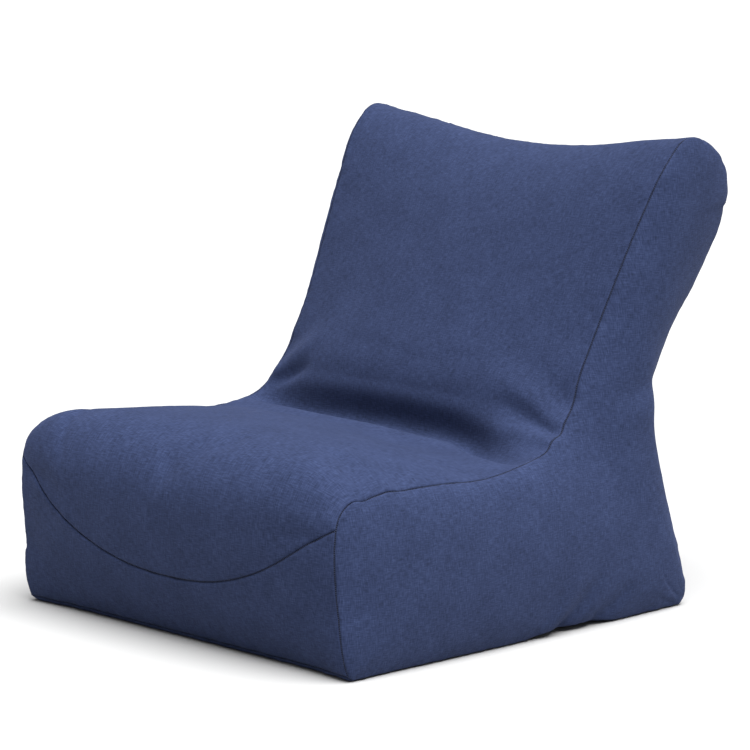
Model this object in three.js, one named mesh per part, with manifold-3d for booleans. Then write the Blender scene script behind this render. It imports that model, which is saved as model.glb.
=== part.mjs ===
// Lounge bean bag chair: a zipped woven cover over a two-chamber bag of polystyrene beads.
// Millimetres, +Z up, front towards -Y. The origin is on the floor under the middle of the chair.
// Left and right are as seen by someone who faces the front of the chair.
import * as THREE from 'three';
import { mergeVertices } from 'three/addons/utils/BufferGeometryUtils.js';
import Module from 'manifold-3d';

const wasm = await Module();
wasm.setup();

// ---------------------------------------------------------------- driving dimensions
const FRONT_TO_CENTRE = 412;   // from the front bottom seam back to the middle of the chair
const COVER_THICKNESS = 1.6;   // woven cover cloth with its backing
const SEAM_GAP = 0.8;          // between two panels that meet at a seam
const SIDE_BULGE = 29;         // how far the beads push the middle of a side panel out
const LINER_INSET = 8.5;       // the liner lies this far inside the outer face of the cover
const LINER_THICKNESS = 1;
const FILL_INSET = 14;         // the beads start this far inside the outer face of the cover
const BAFFLE_HEIGHT = 285;     // the cloth wall between the seat chamber and the back chamber
const BAFFLE_THICKNESS = 1;
const BAFFLE_FRONT = 460;      // the wall starts at the crease, this far behind the front seam

const ZIP = {
  length: 520,                 // coil of the cover zip, between its two end stops
  opening: 12,                 // width between the two cloth edges along the zip
  coilWidth: 5.2,
  coilHeight: 2.5,
  tapeWidth: 14,
  tapeThickness: 0.9,
  sliderLength: 12,
  sliderWidth: 9,
  pullLength: 32,
};
const LINER_ZIP_LENGTH = 440;
const CARE_LABEL = { width: 48, height: 30, thickness: 0.5 };

// The side seam, from the front bottom corner up the front, along the seat, up the backrest,
// over the top and down the rear. Each station has its distance behind the front seam, its height,
// half the width between the two side seams, how far the cloth between them crowns outwards, how
// full that crown is (a high number stays full until close to the seam), and how far the cloth
// dips below the seam in the middle, where the top of the backrest sags between its two ears.
const STATION = {
  frontLow:    [2, 16, 368, 1, 6, 0],
  front1:      [-12, 66, 369, 10, 4, 0],
  front2:      [-21, 138, 367, 18, 4, 0],
  front3:      [-22, 205, 365, 24, 4, 0],
  front4:      [-9, 250, 362, 36, 5, 0],
  seatFront:   [20, 270, 361, 50, 7, 0],
  seat1:       [80, 272, 361, 51, 7, 0],
  seat2:       [190, 273, 360, 43, 6, 0],
  seat3:       [310, 275, 355, 26, 4.5, 0],
  seat4:       [405, 279, 349, 3, 3, 0],
  crease:      [462, 291, 345, 22, 2.4, 0],
  back1:       [499, 323, 338, 34, 2.4, 0],
  back2:       [520, 364, 332, 36, 2.4, 0],
  back3:       [567, 450, 331, 29, 2.4, 0],
  back4:       [613, 547, 339, 18, 2.4, 4],
  back5:       [656, 636, 349, 12, 2.4, 20],
  back6:       [698, 712, 359, 4, 2, 36],
  topFront:    [742, 750, 360, 0, 2, 47],
  topRear:     [796, 737, 358, 4, 2, 46],
  lobe1:       [838, 688, 354, 14, 2, 40],
  lobe2:       [847, 620, 348, 24, 2.2, 26],
  rear1:       [803, 522, 334, 28, 2.4, 10],
  rear2:       [731, 425, 331, 24, 2.6, 0],
  rear3:       [692, 345, 334, 16, 3, 0],
  rear4:       [689, 265, 345, 12, 4, 0],
  rear5:       [712, 165, 358, 6, 7, 0],
  rear6:       [737, 70, 367, 0, 8, 0],
  rearLow:     [747, 16, 368, 0, 8, 0],
  baseRear:    [733, 0, 368, 0, 8, 0],
  base1:       [600, 0, 371, 0, 8, 0],
  base2:       [375, 0, 372, 0, 8, 0],
  base3:       [150, 0, 371, 0, 8, 0],
  baseFront:   [16, 0, 368, 0, 8, 0],
};
const STATION_NAMES = Object.keys(STATION);
const COUNT = STATION_NAMES.length;
const station = (name) => STATION_NAMES.indexOf(name);

// Places along the seam, counted in stations.
const FRONT_CORNER = -0.5;                          // front panel meets the base
const REAR_CORNER = station('rearLow') + 0.5;       // rear hem meets the base
const CREASE = station('crease') + 0.3;
const TOP_SEAM = station('topRear') - 0.3;          // seat and back panel meets the rear panel
const LOBE_CORNER = station('lobe1') + 0.6;
const ZIP_LINE = station('rear6') - 0.08;
const LINER_ZIP_LINE = station('rear6') - 0.55;

// The seam between the front panel and the seat panel dips in the middle like a smile.
const SMILE_LOW = 1.6;
const SMILE_RISE = 1.95;
const smile = (across) => SMILE_LOW + SMILE_RISE * Math.abs(across) ** 2.3;

// ---------------------------------------------------------------- colours and finishes
const finish = (color, roughness, metalness = 0) => () =>
  new THREE.MeshStandardMaterial({ color, roughness, metalness });
const navyWeave = finish('#3f4b70', 0.92);
const navyTape = finish('#2c3554', 0.85);
const navyCoil = finish('#232a44', 0.5);
const darkMetal = finish('#3a3d45', 0.35, 0.9);
const brightMetal = finish('#9a9da3', 0.3, 0.9);
const linerCloth = finish('#e9e8e2', 0.9);
const labelCloth = finish('#f1f1ee', 0.85);
const beads = finish('#f7f7f5', 0.8);

// ---------------------------------------------------------------- the shape of the bag
const seamCurve = new THREE.CatmullRomCurve3(
  STATION_NAMES.map((name) => new THREE.Vector3(
    STATION[name][2], STATION[name][0] - FRONT_TO_CENTRE, STATION[name][1])),
  true, 'centripetal');
const crownCurve = new THREE.CatmullRomCurve3(
  STATION_NAMES.map((name) => new THREE.Vector3(...STATION[name].slice(3))),
  true, 'catmullrom', 0.5);

// A point of the seam; the base is flat on the floor.
function seamPoint(place) {
  const point = seamCurve.getPoint(place / COUNT);
  point.z = Math.max(point.z, 0);
  return point;
}

// The direction out of the bag at a place on the seam, in the side view.
function outward(place) {
  const step = 0.01;
  const along = seamPoint(place + step).sub(seamPoint(place - step));
  return new THREE.Vector3(0, -along.z, along.y).normalize();
}

// The seam moved into the bag by an inset, along the outline's normal and in from the side.
function seamAt(place, inset) {
  const point = seamPoint(place).addScaledVector(outward(place), -inset);
  point.z = Math.max(point.z, inset);
  point.x -= inset;
  return point;
}

// A point of the cloth that runs round the bag; across goes from -1 at the left seam to 1.
function wrapPoint(place, across, inset) {
  const seam = seamAt(place, inset);
  const { x: crown, y: fullness, z: dip } = crownCurve.getPoint(place / COUNT);
  seam.x *= across;
  seam.z -= dip * (1 - across ** 2);
  return seam.addScaledVector(outward(place), crown * (1 - Math.abs(across) ** fullness));
}

// A frame on the middle of the wrap: X across, Y along the cloth, Z out of the bag.
function frameOnWrap(place, inset) {
  const step = 0.05;
  const along = wrapPoint(place + step, 0, inset).sub(wrapPoint(place - step, 0, inset));
  const frame = new THREE.Group();
  frame.position.copy(wrapPoint(place, 0, inset));
  frame.rotation.x = Math.atan2(along.z, along.y);
  return frame;
}

// How far a place moves along the seam for a distance in millimetres.
function shifted(place, distance) {
  const step = 0.01;
  const speed = seamPoint(place + step).distanceTo(seamPoint(place - step)) / (2 * step);
  return place + distance / speed;
}

// A side panel is a patch between four stretches of the seam: seat and backrest, base and rear,
// front edge, and the lobe at the top. u runs from the front to the top, v from the base inwards.
const SPLIT = 0.48;
const mix = (a, b, k) => a + (b - a) * k;
const bend = (low, middle, high, u) =>
  (u < SPLIT ? mix(low, middle, u / SPLIT) : mix(middle, high, (u - SPLIT) / (1 - SPLIT)));
const innerEdge = (u) => bend(station('seatFront'), CREASE, station('topFront') + 0.3, u);
const outerEdge = (u) => bend(FRONT_CORNER + COUNT, REAR_CORNER, LOBE_CORNER, u);
const frontEdge = (v) => mix(FRONT_CORNER, station('seatFront'), v);
const lobeEdge = (v) => mix(LOBE_CORNER, station('topFront') + 0.3, v);

function sideBulge(u, v) {
  const rise = (k) => 1 - (1 - Math.min(Math.max(k, 0), 1)) ** 2.2;
  return SIDE_BULGE * (4 * v * (1 - v)) ** 0.75 * rise(u / 0.25) * rise((1 - u) / 0.18);
}

function sidePoint(u, v, inset, side) {
  const edge = (place) => seamAt(place, inset);
  const sum = new THREE.Vector3();
  sum.addScaledVector(edge(outerEdge(u)), 1 - v);
  sum.addScaledVector(edge(innerEdge(u)), v);
  sum.addScaledVector(edge(frontEdge(v)), 1 - u);
  sum.addScaledVector(edge(lobeEdge(v)), u);
  sum.addScaledVector(edge(FRONT_CORNER), -(1 - u) * (1 - v));
  sum.addScaledVector(edge(station('seatFront')), -(1 - u) * v);
  sum.addScaledVector(edge(LOBE_CORNER), -u * (1 - v));
  sum.addScaledVector(edge(station('topFront') + 0.3), -u * v);
  sum.x = side * (sum.x + sideBulge(u, v));
  return sum;
}

// ---------------------------------------------------------------- making closed solids
const spread = (from, to, steps) =>
  Array.from({ length: steps + 1 }, (_, i) => mix(from, to, i / steps));

function signedVolume(positions, index) {
  const [a, b, c] = [0, 1, 2].map(() => new THREE.Vector3());
  let volume = 0;
  for (let i = 0; i < index.length; i += 3) {
    [a, b, c].forEach((corner, k) => corner.fromArray(positions, 3 * index[i + k]));
    volume += a.dot(b.cross(c)) / 6;
  }
  return volume;
}

function closedGeometry(positions, index) {
  if (signedVolume(positions, index) < 0) index.reverse();
  const geometry = new THREE.BufferGeometry();
  geometry.setAttribute('position', new THREE.Float32BufferAttribute(positions, 3));
  geometry.setIndex(index);
  return geometry;
}

// A sheet of cloth: a grid of points on its outer face, the same grid on its inner face, and a rim.
function sheet(surface, rows, columns, outer, inner) {
  const positions = [];
  for (const inset of [outer, inner]) {
    for (const row of rows) {
      for (const column of columns) positions.push(...surface(row, column, inset).toArray());
    }
  }
  const wide = columns.length;
  const layer = rows.length * wide;
  const at = (i, j) => i * wide + j;
  const index = [];
  const quad = (a, b, c, d) => index.push(a, b, c, a, c, d);
  for (let i = 0; i + 1 < rows.length; i++) {
    for (let j = 0; j + 1 < wide; j++) {
      const corners = [at(i, j), at(i, j + 1), at(i + 1, j + 1), at(i + 1, j)];
      quad(...corners);
      quad(...corners.map((corner) => corner + layer).reverse());
    }
  }
  const rim = [];
  for (let j = 0; j + 1 < wide; j++) rim.push(at(0, j));
  for (let i = 0; i + 1 < rows.length; i++) rim.push(at(i, wide - 1));
  for (let j = wide - 1; j > 0; j--) rim.push(at(rows.length - 1, j));
  for (let i = rows.length - 1; i > 0; i--) rim.push(at(i, 0));
  rim.forEach((corner, k) => {
    const next = rim[(k + 1) % rim.length];
    quad(next, corner, corner + layer, next + layer);
  });
  return closedGeometry(positions, index);
}

// Cloth that runs round the bag. Each row gives its place on the seam, which may change across
// the width, and the columns are closer together near the side seams, where the cloth turns.
const WIDTH_STEPS = spread(-1, 1, 12).map((k) => Math.sin(k * Math.PI / 2));
const rowsBetween = (from, to, steps) =>
  spread(0, 1, steps).map((k) => (across) => mix(from(across), to(across), k));
function wrapSheet(rows, { outer = 0, inner = COVER_THICKNESS, across = WIDTH_STEPS } = {}) {
  const sideRoom = (inner - outer) + 1.25 * SEAM_GAP;
  const surface = (row, column, inset) => {
    const place = row(column);
    const reach = 1 - sideRoom / seamPoint(place).x;
    return wrapPoint(place, Math.min(Math.max(column, -reach), reach), inset);
  };
  return sheet(surface, rows, across, outer, inner);
}

function sideSheet(side, outer = 0, inner = COVER_THICKNESS, steps = [26, 7]) {
  const surface = (u, v, inset) => sidePoint(u, v, inset, side);
  return sheet(surface, spread(0, 1, steps[0]), spread(0, 1, steps[1]), outer, inner);
}

function toManifold(geometry) {
  const bare = new THREE.BufferGeometry();
  bare.setAttribute('position', geometry.getAttribute('position').clone());
  bare.setIndex(geometry.getIndex());
  const merged = mergeVertices(bare, 1e-3);
  return new wasm.Manifold(new wasm.Mesh({
    numProp: 3,
    vertProperties: new Float32Array(merged.getAttribute('position').array),
    triVerts: new Uint32Array(merged.getIndex().array),
  }));
}

function fromManifold(solid) {
  const mesh = solid.getMesh();
  const geometry = new THREE.BufferGeometry();
  geometry.setAttribute('position', new THREE.BufferAttribute(mesh.vertProperties, 3));
  geometry.setIndex(new THREE.BufferAttribute(mesh.triVerts, 1));
  return geometry;
}

const box = (low, high) => {
  const size = high.map((value, axis) => value - low[axis]);
  const geometry = new THREE.BoxGeometry(...size);
  return geometry.translate(...low.map((value, axis) => value + size[axis] / 2));
};

// The liner and the beads share one grid, so that they stay apart wherever the cloth bends.
const INNER_STEPS = [21, 5];
const [US, VS] = INNER_STEPS.map((steps) => spread(0, 1, steps));
const LOOP = [
  ...VS.slice(0, -1).map(frontEdge),
  ...US.slice(0, -1).map(innerEdge),
  ...VS.slice(1).reverse().map(lobeEdge),
  ...US.slice(1).reverse().map(outerEdge),
];
const linerReach = (LINER_ZIP_LENGTH / 2 + 6) / seamPoint(LINER_ZIP_LINE).x;
const linerClosed = (LINER_ZIP_LENGTH / 2 + 20) / seamPoint(LINER_ZIP_LINE).x;
const HALF_WIDTH_STEPS = [0.35, linerReach, linerClosed, 0.82, 0.93, 1];
const INNER_WIDTH_STEPS = [...HALF_WIDTH_STEPS.map((k) => -k).reverse(), 0, ...HALF_WIDTH_STEPS];

// The whole bag as one closed solid at an inset: the wrap and both sides, welded at the seam.
function bagSolid(inset) {
  const positions = [];
  const index = [];
  const addGrid = (points, flip) => {
    const wide = points[0].length;
    const start = positions.length / 3;
    points.flat().forEach((point) => positions.push(...point.toArray()));
    for (let i = 0; i + 1 < points.length; i++) {
      for (let j = 0; j + 1 < wide; j++) {
        const a = start + i * wide + j;
        const quad = [a, a + 1, a + wide + 1, a, a + wide + 1, a + wide];
        index.push(...(flip ? quad.reverse() : quad));
      }
    }
  };
  addGrid([...LOOP, LOOP[0]].map(
    (place) => INNER_WIDTH_STEPS.map((across) => wrapPoint(place, across, inset))), false);
  for (const side of [-1, 1]) {
    addGrid(US.map((u) => VS.map((v) => sidePoint(u, v, inset, side))), side > 0);
  }
  return toManifold(closedGeometry(positions, index));
}

// ---------------------------------------------------------------- the chair
const chair = new THREE.Group();
chair.name = 'bean_bag_chair';

function add(parent, name, geometry, material) {
  const mesh = new THREE.Mesh(geometry, material());
  mesh.name = name;
  parent.add(mesh);
  return mesh;
}

// Cloth edges stop half a seam gap short of the seam line, or further along the zip.
const after = (place, distance = SEAM_GAP / 2) => () => shifted(place, distance);
const before = (place, distance = SEAM_GAP / 2) => () => shifted(place, -distance);
const halfWidthAtZip = seamPoint(ZIP_LINE).x;
const zipReach = (ZIP.length / 2 + 10) / halfWidthAtZip;
const zipClosed = (ZIP.length / 2 + 26) / halfWidthAtZip;
const zipEdge = (across) => (Math.abs(across) < zipReach + 1e-6 ? ZIP.opening / 2 : SEAM_GAP / 2);
const ZIP_WIDTH_STEPS = [...spread(-1, -zipClosed, 3), ...spread(-zipReach, zipReach, 8),
  ...spread(zipClosed, 1, 3)];

// Cover panels.
add(chair, 'front_panel', wrapSheet(rowsBetween(
  after(FRONT_CORNER), (across) => shifted(smile(across), -SEAM_GAP / 2), 6)), navyWeave);
add(chair, 'seat_back_panel', wrapSheet(rowsBetween(
  (across) => shifted(smile(across), SEAM_GAP / 2), before(TOP_SEAM), 36)), navyWeave);
add(chair, 'rear_panel', wrapSheet(rowsBetween(
  after(TOP_SEAM), (across) => shifted(ZIP_LINE, -zipEdge(across)), 16),
{ across: ZIP_WIDTH_STEPS }), navyWeave);
add(chair, 'rear_hem_panel', wrapSheet(rowsBetween(
  (across) => shifted(ZIP_LINE, zipEdge(across)), before(REAR_CORNER), 4),
{ across: ZIP_WIDTH_STEPS }), navyWeave);
add(chair, 'base_panel', wrapSheet(rowsBetween(
  after(REAR_CORNER), before(COUNT + FRONT_CORNER), 8)), navyWeave);
add(chair, 'side_panel_left', sideSheet(-1), navyWeave);
add(chair, 'side_panel_right', sideSheet(1), navyWeave);

// A zip in its own frame: X along the coil, Y down the rear, Z out of the bag, with zero on the
// outer face of the cloth that it is sewn behind. Closed, its slider waits at the left end.
function makeZip(prefix, place, inset, length, tapeReach) {
  const group = frameOnWrap(place, inset);
  chair.add(group);
  const coilTop = -0.4;
  const coilBase = coilTop - ZIP.coilHeight;
  const tapeTop = -COVER_THICKNESS - 0.4;
  const half = length / 2;
  const channel = ZIP.coilWidth / 2;
  const gap = 0.3;
  for (const [name, side] of [['upper', -1], ['lower', 1]]) {
    const near = side * (channel + gap);
    const far = side * (channel + ZIP.tapeWidth);
    add(group, `${prefix}_zip_tape_${name}`, box(
      [-half - tapeReach, Math.min(near, far), tapeTop - ZIP.tapeThickness],
      [half + tapeReach, Math.max(near, far), tapeTop]), navyTape);
  }
  add(group, `${prefix}_zip_coil`, coil(half, channel, coilBase, coilTop), navyCoil);
  for (const [name, side] of [['closed', -1], ['open', 1]]) {
    const near = side * (half + gap);
    const far = side * (half + 3);
    add(group, `${prefix}_zip_stop_${name}`, box(
      [Math.min(near, far), -channel, coilBase], [Math.max(near, far), channel, coilTop]), brightMetal);
  }
  const rideLength = half - ZIP.sliderLength / 2 - 4;
  const carriage = new THREE.Group();
  carriage.position.x = -rideLength;
  group.add(carriage);
  return carriage;
}

// The two halves of the closed coil meet in a shallow groove along the middle.
function coil(half, channel, low, high) {
  const groove = 0.5;
  const outline = new THREE.Shape([
    [-channel, low], [channel, low], [channel, high - groove], [channel - groove, high],
    [groove, high], [0, high - groove], [-groove, high], [-channel + groove, high],
    [-channel, high - groove],
  ].map(([y, z]) => new THREE.Vector2(y, z)));
  const geometry = new THREE.ExtrudeGeometry(outline, { depth: 2 * half, bevelEnabled: false });
  geometry.rotateX(Math.PI / 2).rotateZ(Math.PI / 2);
  return geometry.translate(-half, 0, 0);
}

// The slider straddles the coil: a plate over it, a flange down each side, and a lug for the pull.
const LUG = { halfLength: 4.6, post: 1.2, halfWidth: 1, opening: 2.2, bar: 1 };
const PLATE = 1.2;
const FLANGE = 1.1;
function slider(withLug) {
  const [halfLength, halfWidth] = [ZIP.sliderLength / 2, ZIP.sliderWidth / 2];
  const solids = [
    box([-halfLength, -halfWidth, 0], [halfLength, halfWidth, PLATE]),
    box([-halfLength, -halfWidth, -COVER_THICKNESS], [halfLength, FLANGE - halfWidth, PLATE / 2]),
    box([-halfLength, halfWidth - FLANGE, -COVER_THICKNESS], [halfLength, halfWidth, PLATE / 2]),
  ];
  if (withLug) {
    const top = PLATE + LUG.opening + LUG.bar;
    for (const side of [-1, 1]) {
      const [near, far] = [side * (LUG.halfLength - LUG.post), side * LUG.halfLength];
      solids.push(box([Math.min(near, far), -LUG.halfWidth, PLATE / 2],
        [Math.max(near, far), LUG.halfWidth, top]));
    }
    solids.push(box([-LUG.halfLength, -LUG.halfWidth, PLATE + LUG.opening],
      [LUG.halfLength, LUG.halfWidth, top]));
  }
  return fromManifold(solids.map(toManifold).reduce((whole, piece) => whole.add(piece)));
}

// The pull: a round-ended tab whose crossbar turns under the lug. Its pin line is at zero.
const PULL = { halfWidth: 4, thickness: 1.2, eyeHalfWidth: 1.7, eyeEnd: 6.4, halfBar: 0.6 };
function pull() {
  const outline = new THREE.Shape();
  const roundEnd = ZIP.pullLength - PULL.halfWidth;
  outline.moveTo(-PULL.halfBar, -PULL.halfWidth);
  outline.lineTo(roundEnd, -PULL.halfWidth);
  outline.absarc(roundEnd, 0, PULL.halfWidth, -Math.PI / 2, Math.PI / 2, false);
  outline.lineTo(-PULL.halfBar, PULL.halfWidth);
  const eye = new THREE.Path();
  eye.moveTo(PULL.halfBar, -PULL.eyeHalfWidth);
  eye.lineTo(PULL.halfBar, PULL.eyeHalfWidth);
  eye.lineTo(PULL.eyeEnd, PULL.eyeHalfWidth);
  eye.lineTo(PULL.eyeEnd, -PULL.eyeHalfWidth);
  const grip = new THREE.Path();
  grip.absarc(roundEnd - 1, 0, 1.8, 0, 2 * Math.PI, true);
  outline.holes.push(eye, grip);
  const geometry = new THREE.ExtrudeGeometry(outline, {
    depth: PULL.thickness, bevelEnabled: false, curveSegments: 8,
  });
  return geometry.translate(0, 0, -PULL.thickness / 2);
}

const coverCarriage = makeZip('cover', ZIP_LINE, 0, ZIP.length, 14);
add(coverCarriage, 'cover_zip_slider', slider(true), darkMetal);
add(coverCarriage, 'cover_zip_pull', pull(), darkMetal)
  .position.set(0, 0, PLATE + LUG.opening / 2);

// The blank care label hangs inside the cover, below the zip.
const labelFrame = frameOnWrap(ZIP_LINE, 0);
chair.add(labelFrame);
const labelTop = ZIP.coilWidth / 2 + ZIP.tapeWidth + 1;
const labelFace = -COVER_THICKNESS - 1.2;
add(labelFrame, 'care_label', box(
  [200, labelTop, labelFace - CARE_LABEL.thickness],
  [200 + CARE_LABEL.width, labelTop + CARE_LABEL.height, labelFace]), labelCloth);

// The inner liner with its child-safe zip, whose slider has no pull.
const linerInner = LINER_INSET + LINER_THICKNESS;
const linerEdge = (across) =>
  (Math.abs(across) < linerReach + 1e-6 ? ZIP.opening / 2 : SEAM_GAP / 2);
const roundFromZip = LOOP.map((place) => (place > LINER_ZIP_LINE ? place : place + COUNT))
  .filter((place) => place > LINER_ZIP_LINE + 0.15 && place < LINER_ZIP_LINE + COUNT - 0.15)
  .sort((a, b) => a - b);
add(chair, 'liner_wrap_panel', wrapSheet([
  (across) => shifted(LINER_ZIP_LINE, linerEdge(across)),
  ...roundFromZip.map((place) => () => place),
  (across) => shifted(LINER_ZIP_LINE, -linerEdge(across)) + COUNT,
], { outer: LINER_INSET, inner: linerInner, across: INNER_WIDTH_STEPS }), linerCloth);
add(chair, 'liner_side_left', sideSheet(-1, LINER_INSET, linerInner, INNER_STEPS), linerCloth);
add(chair, 'liner_side_right', sideSheet(1, LINER_INSET, linerInner, INNER_STEPS), linerCloth);
const linerCarriage = makeZip('liner', LINER_ZIP_LINE, LINER_INSET, LINER_ZIP_LENGTH, 10);
add(linerCarriage, 'liner_zip_slider', slider(false), brightMetal);

// The beads in their two chambers, and the cloth wall between them.
const behindCrease = BAFFLE_FRONT - FRONT_TO_CENTRE;
const upper = (low, high) => toManifold(box([-500, behindCrease, low], [500, 600, high]));
const baffleTop = BAFFLE_HEIGHT + BAFFLE_THICKNESS;
const beadSolid = bagSolid(FILL_INSET);
add(chair, 'chamber_baffle', fromManifold(
  bagSolid(FILL_INSET - 1).intersect(upper(BAFFLE_HEIGHT, baffleTop))), linerCloth);
add(chair, 'seat_bead_fill', fromManifold(
  beadSolid.subtract(upper(BAFFLE_HEIGHT - 0.4, 900))), beads);
add(chair, 'back_bead_fill', fromManifold(
  beadSolid.intersect(upper(baffleTop + 0.4, 900))), beads);

export default chair;
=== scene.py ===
# %% [markdown]
# # A lounge bean bag chair
#
# The chair is a woven cover sewn from seven panels, closed with a zip at the lower rear, over a
# liner full of polystyrene beads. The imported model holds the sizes, the bodies and the joints.
# This lesson gives it its cloth: the panels are pushed out by the beads in a cloth simulation,
# pulled in along every seam, and woven in a mottled navy yarn.

# %% Load the frame
import math
import bpy
import numpy as np
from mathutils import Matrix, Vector


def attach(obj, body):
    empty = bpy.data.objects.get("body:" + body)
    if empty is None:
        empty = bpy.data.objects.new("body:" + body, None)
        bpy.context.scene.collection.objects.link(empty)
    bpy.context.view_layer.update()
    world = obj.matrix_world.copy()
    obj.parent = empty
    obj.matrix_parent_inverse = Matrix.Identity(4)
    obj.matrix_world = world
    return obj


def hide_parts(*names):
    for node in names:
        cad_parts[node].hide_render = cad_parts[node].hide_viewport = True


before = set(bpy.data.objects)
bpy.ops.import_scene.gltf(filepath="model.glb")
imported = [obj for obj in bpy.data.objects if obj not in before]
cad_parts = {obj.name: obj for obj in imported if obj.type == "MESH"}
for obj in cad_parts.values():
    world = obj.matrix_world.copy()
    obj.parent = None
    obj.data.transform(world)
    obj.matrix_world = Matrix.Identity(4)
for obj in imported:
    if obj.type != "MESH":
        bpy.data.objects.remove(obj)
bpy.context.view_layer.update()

# %% [markdown]
# ## The camera and the light
#
# A long lens from the front right and a little above gives the calm, nearly parallel lines of a
# catalogue view. One very wide sun stands in for a large overhead soft box, a little to the
# right, and the floor throws some of it back. The room itself gives little light, though it is
# seen as white: the Light Path node tells what the camera sees from what lights the cloth.

# %% Camera
CAMERA_PLACE = (4.62406, -4.40709, 1.48245)
CAMERA_TURN = math.radians(46.4)
CAMERA_DIP = math.radians(9.905)
LENS = 194.06
camera_data = bpy.data.cameras.new("studio_camera")
camera_data.lens = LENS
camera_data.sensor_width = 36
camera = bpy.data.objects.new("studio_camera", camera_data)
bpy.context.collection.objects.link(camera)
camera.location = CAMERA_PLACE
camera.rotation_euler = (math.pi / 2 - CAMERA_DIP, 0, CAMERA_TURN)
bpy.context.scene.camera = camera
print(f"camera: a {LENS:.0f} mm lens, {camera.location.length:.1f} m from the chair")

# %% A wide sun
SUN_WATTS, SUN_SPREAD = 7.9, math.radians(60)
SUN_FROM = (0.34, -0.04, 1.0)
sun_data = bpy.data.lights.new("overhead_light", "SUN")
sun_data.energy = SUN_WATTS
sun_data.angle = SUN_SPREAD
sun = bpy.data.objects.new("overhead_light", sun_data)
bpy.context.collection.objects.link(sun)
sun.rotation_euler = Vector(SUN_FROM).to_track_quat("Z", "Y").to_euler()
print(f"sun: {SUN_WATTS} watts per square metre, {math.degrees(SUN_SPREAD):.0f} degrees wide")

# %% The room
SKY_SEEN, SKY_GIVEN = 1.0, 0.34
world = bpy.data.worlds.new("pale_room")
bpy.context.scene.world = world
world.use_nodes = True
room = world.node_tree
light_path = room.nodes.new("ShaderNodeLightPath")
strength = room.nodes.new("ShaderNodeMapRange")
strength.inputs["To Min"].default_value = SKY_GIVEN
strength.inputs["To Max"].default_value = SKY_SEEN
room.links.new(light_path.outputs["Is Camera Ray"], strength.inputs["Value"])
room.nodes["Background"].inputs["Color"].default_value = (1, 1, 1, 1)
room.links.new(strength.outputs["Result"], room.nodes["Background"].inputs["Strength"])
bpy.context.scene.view_settings.view_transform = "Standard"
print(f"room: seen at {SKY_SEEN}, and it lights at {SKY_GIVEN}")

# %% The floor
FLOOR_HALF = 30
FLOOR_GAP = 0.0008
FLOOR_SHADE = 0.44
floor_corners = [(x * FLOOR_HALF, y * FLOOR_HALF, -FLOOR_GAP)
                 for x, y in ((-1, -1), (1, -1), (1, 1), (-1, 1))]
floor_mesh = bpy.data.meshes.new("floor")
floor_mesh.from_pydata(floor_corners, [], [(0, 1, 2, 3)])
floor = bpy.data.objects.new("floor", floor_mesh)
bpy.context.collection.objects.link(floor)
floor_material = bpy.data.materials.new("pale_floor")
floor_material.use_nodes = True
floor_shader = floor_material.node_tree.nodes["Principled BSDF"]
floor_shader.inputs["Base Color"].default_value = (FLOOR_SHADE, FLOOR_SHADE, FLOOR_SHADE, 1)
floor_shader.inputs["Roughness"].default_value = 1.0
floor_shader.inputs["Specular IOR Level"].default_value = 0.0
floor_mesh.materials.append(floor_material)
print(f"floor: a pale grey of {FLOOR_SHADE}, {2 * FLOOR_HALF} m each way")

# %% [markdown]
# ## The outline of the bag
#
# Seen from the side, the bag is one closed outline: up the front, along the seat, up the backrest,
# over the top and down the rear to the base. The two side seams follow that outline, and the cloth
# between them crowns outwards. A curve through a few stations says all of this. The same stations
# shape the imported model, so the cloth lies where the model says.

# %% Stations along the side seam, in metres
FRONT_TO_CENTRE = 0.412
STATION = {
    # behind the front seam, height, half width, crown, fullness of the crown, dip in the middle
    "front_low": (0.002, 0.016, 0.368, 0.001, 6, 0),
    "front1": (-0.012, 0.066, 0.369, 0.010, 4, 0),
    "front2": (-0.021, 0.138, 0.367, 0.018, 4, 0),
    "front3": (-0.022, 0.205, 0.365, 0.024, 4, 0),
    "front4": (-0.009, 0.250, 0.362, 0.036, 5, 0),
    "seat_front": (0.020, 0.270, 0.361, 0.050, 7, 0),
    "seat1": (0.080, 0.272, 0.361, 0.051, 7, 0),
    "seat2": (0.190, 0.273, 0.360, 0.043, 6, 0),
    "seat3": (0.310, 0.275, 0.355, 0.026, 4.5, 0),
    "seat4": (0.405, 0.279, 0.349, 0.003, 3, 0),
    "crease": (0.462, 0.291, 0.345, 0.022, 2.4, 0),
    "back1": (0.499, 0.323, 0.338, 0.034, 2.4, 0),
    "back2": (0.520, 0.364, 0.332, 0.036, 2.4, 0),
    "back3": (0.567, 0.450, 0.331, 0.029, 2.4, 0),
    "back4": (0.613, 0.547, 0.339, 0.018, 2.4, 0.004),
    "back5": (0.656, 0.636, 0.349, 0.012, 2.4, 0.020),
    "back6": (0.698, 0.712, 0.359, 0.004, 2, 0.036),
    "top_front": (0.742, 0.750, 0.360, 0, 2, 0.047),
    "top_rear": (0.796, 0.737, 0.358, 0.004, 2, 0.046),
    "lobe1": (0.838, 0.688, 0.354, 0.014, 2, 0.040),
    "lobe2": (0.847, 0.620, 0.348, 0.024, 2.2, 0.026),
    "rear1": (0.803, 0.522, 0.334, 0.028, 2.4, 0.010),
    "rear2": (0.731, 0.425, 0.331, 0.024, 2.6, 0),
    "rear3": (0.692, 0.345, 0.334, 0.016, 3, 0),
    "rear4": (0.689, 0.265, 0.345, 0.012, 4, 0),
    "rear5": (0.712, 0.165, 0.358, 0.006, 7, 0),
    "rear6": (0.737, 0.070, 0.367, 0, 8, 0),
    "rear_low": (0.747, 0.016, 0.368, 0, 8, 0),
    "base_rear": (0.733, 0, 0.368, 0, 8, 0),
    "base1": (0.600, 0, 0.371, 0, 8, 0),
    "base2": (0.375, 0, 0.372, 0, 8, 0),
    "base3": (0.150, 0, 0.371, 0, 8, 0),
    "base_front": (0.016, 0, 0.368, 0, 8, 0),
}
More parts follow.
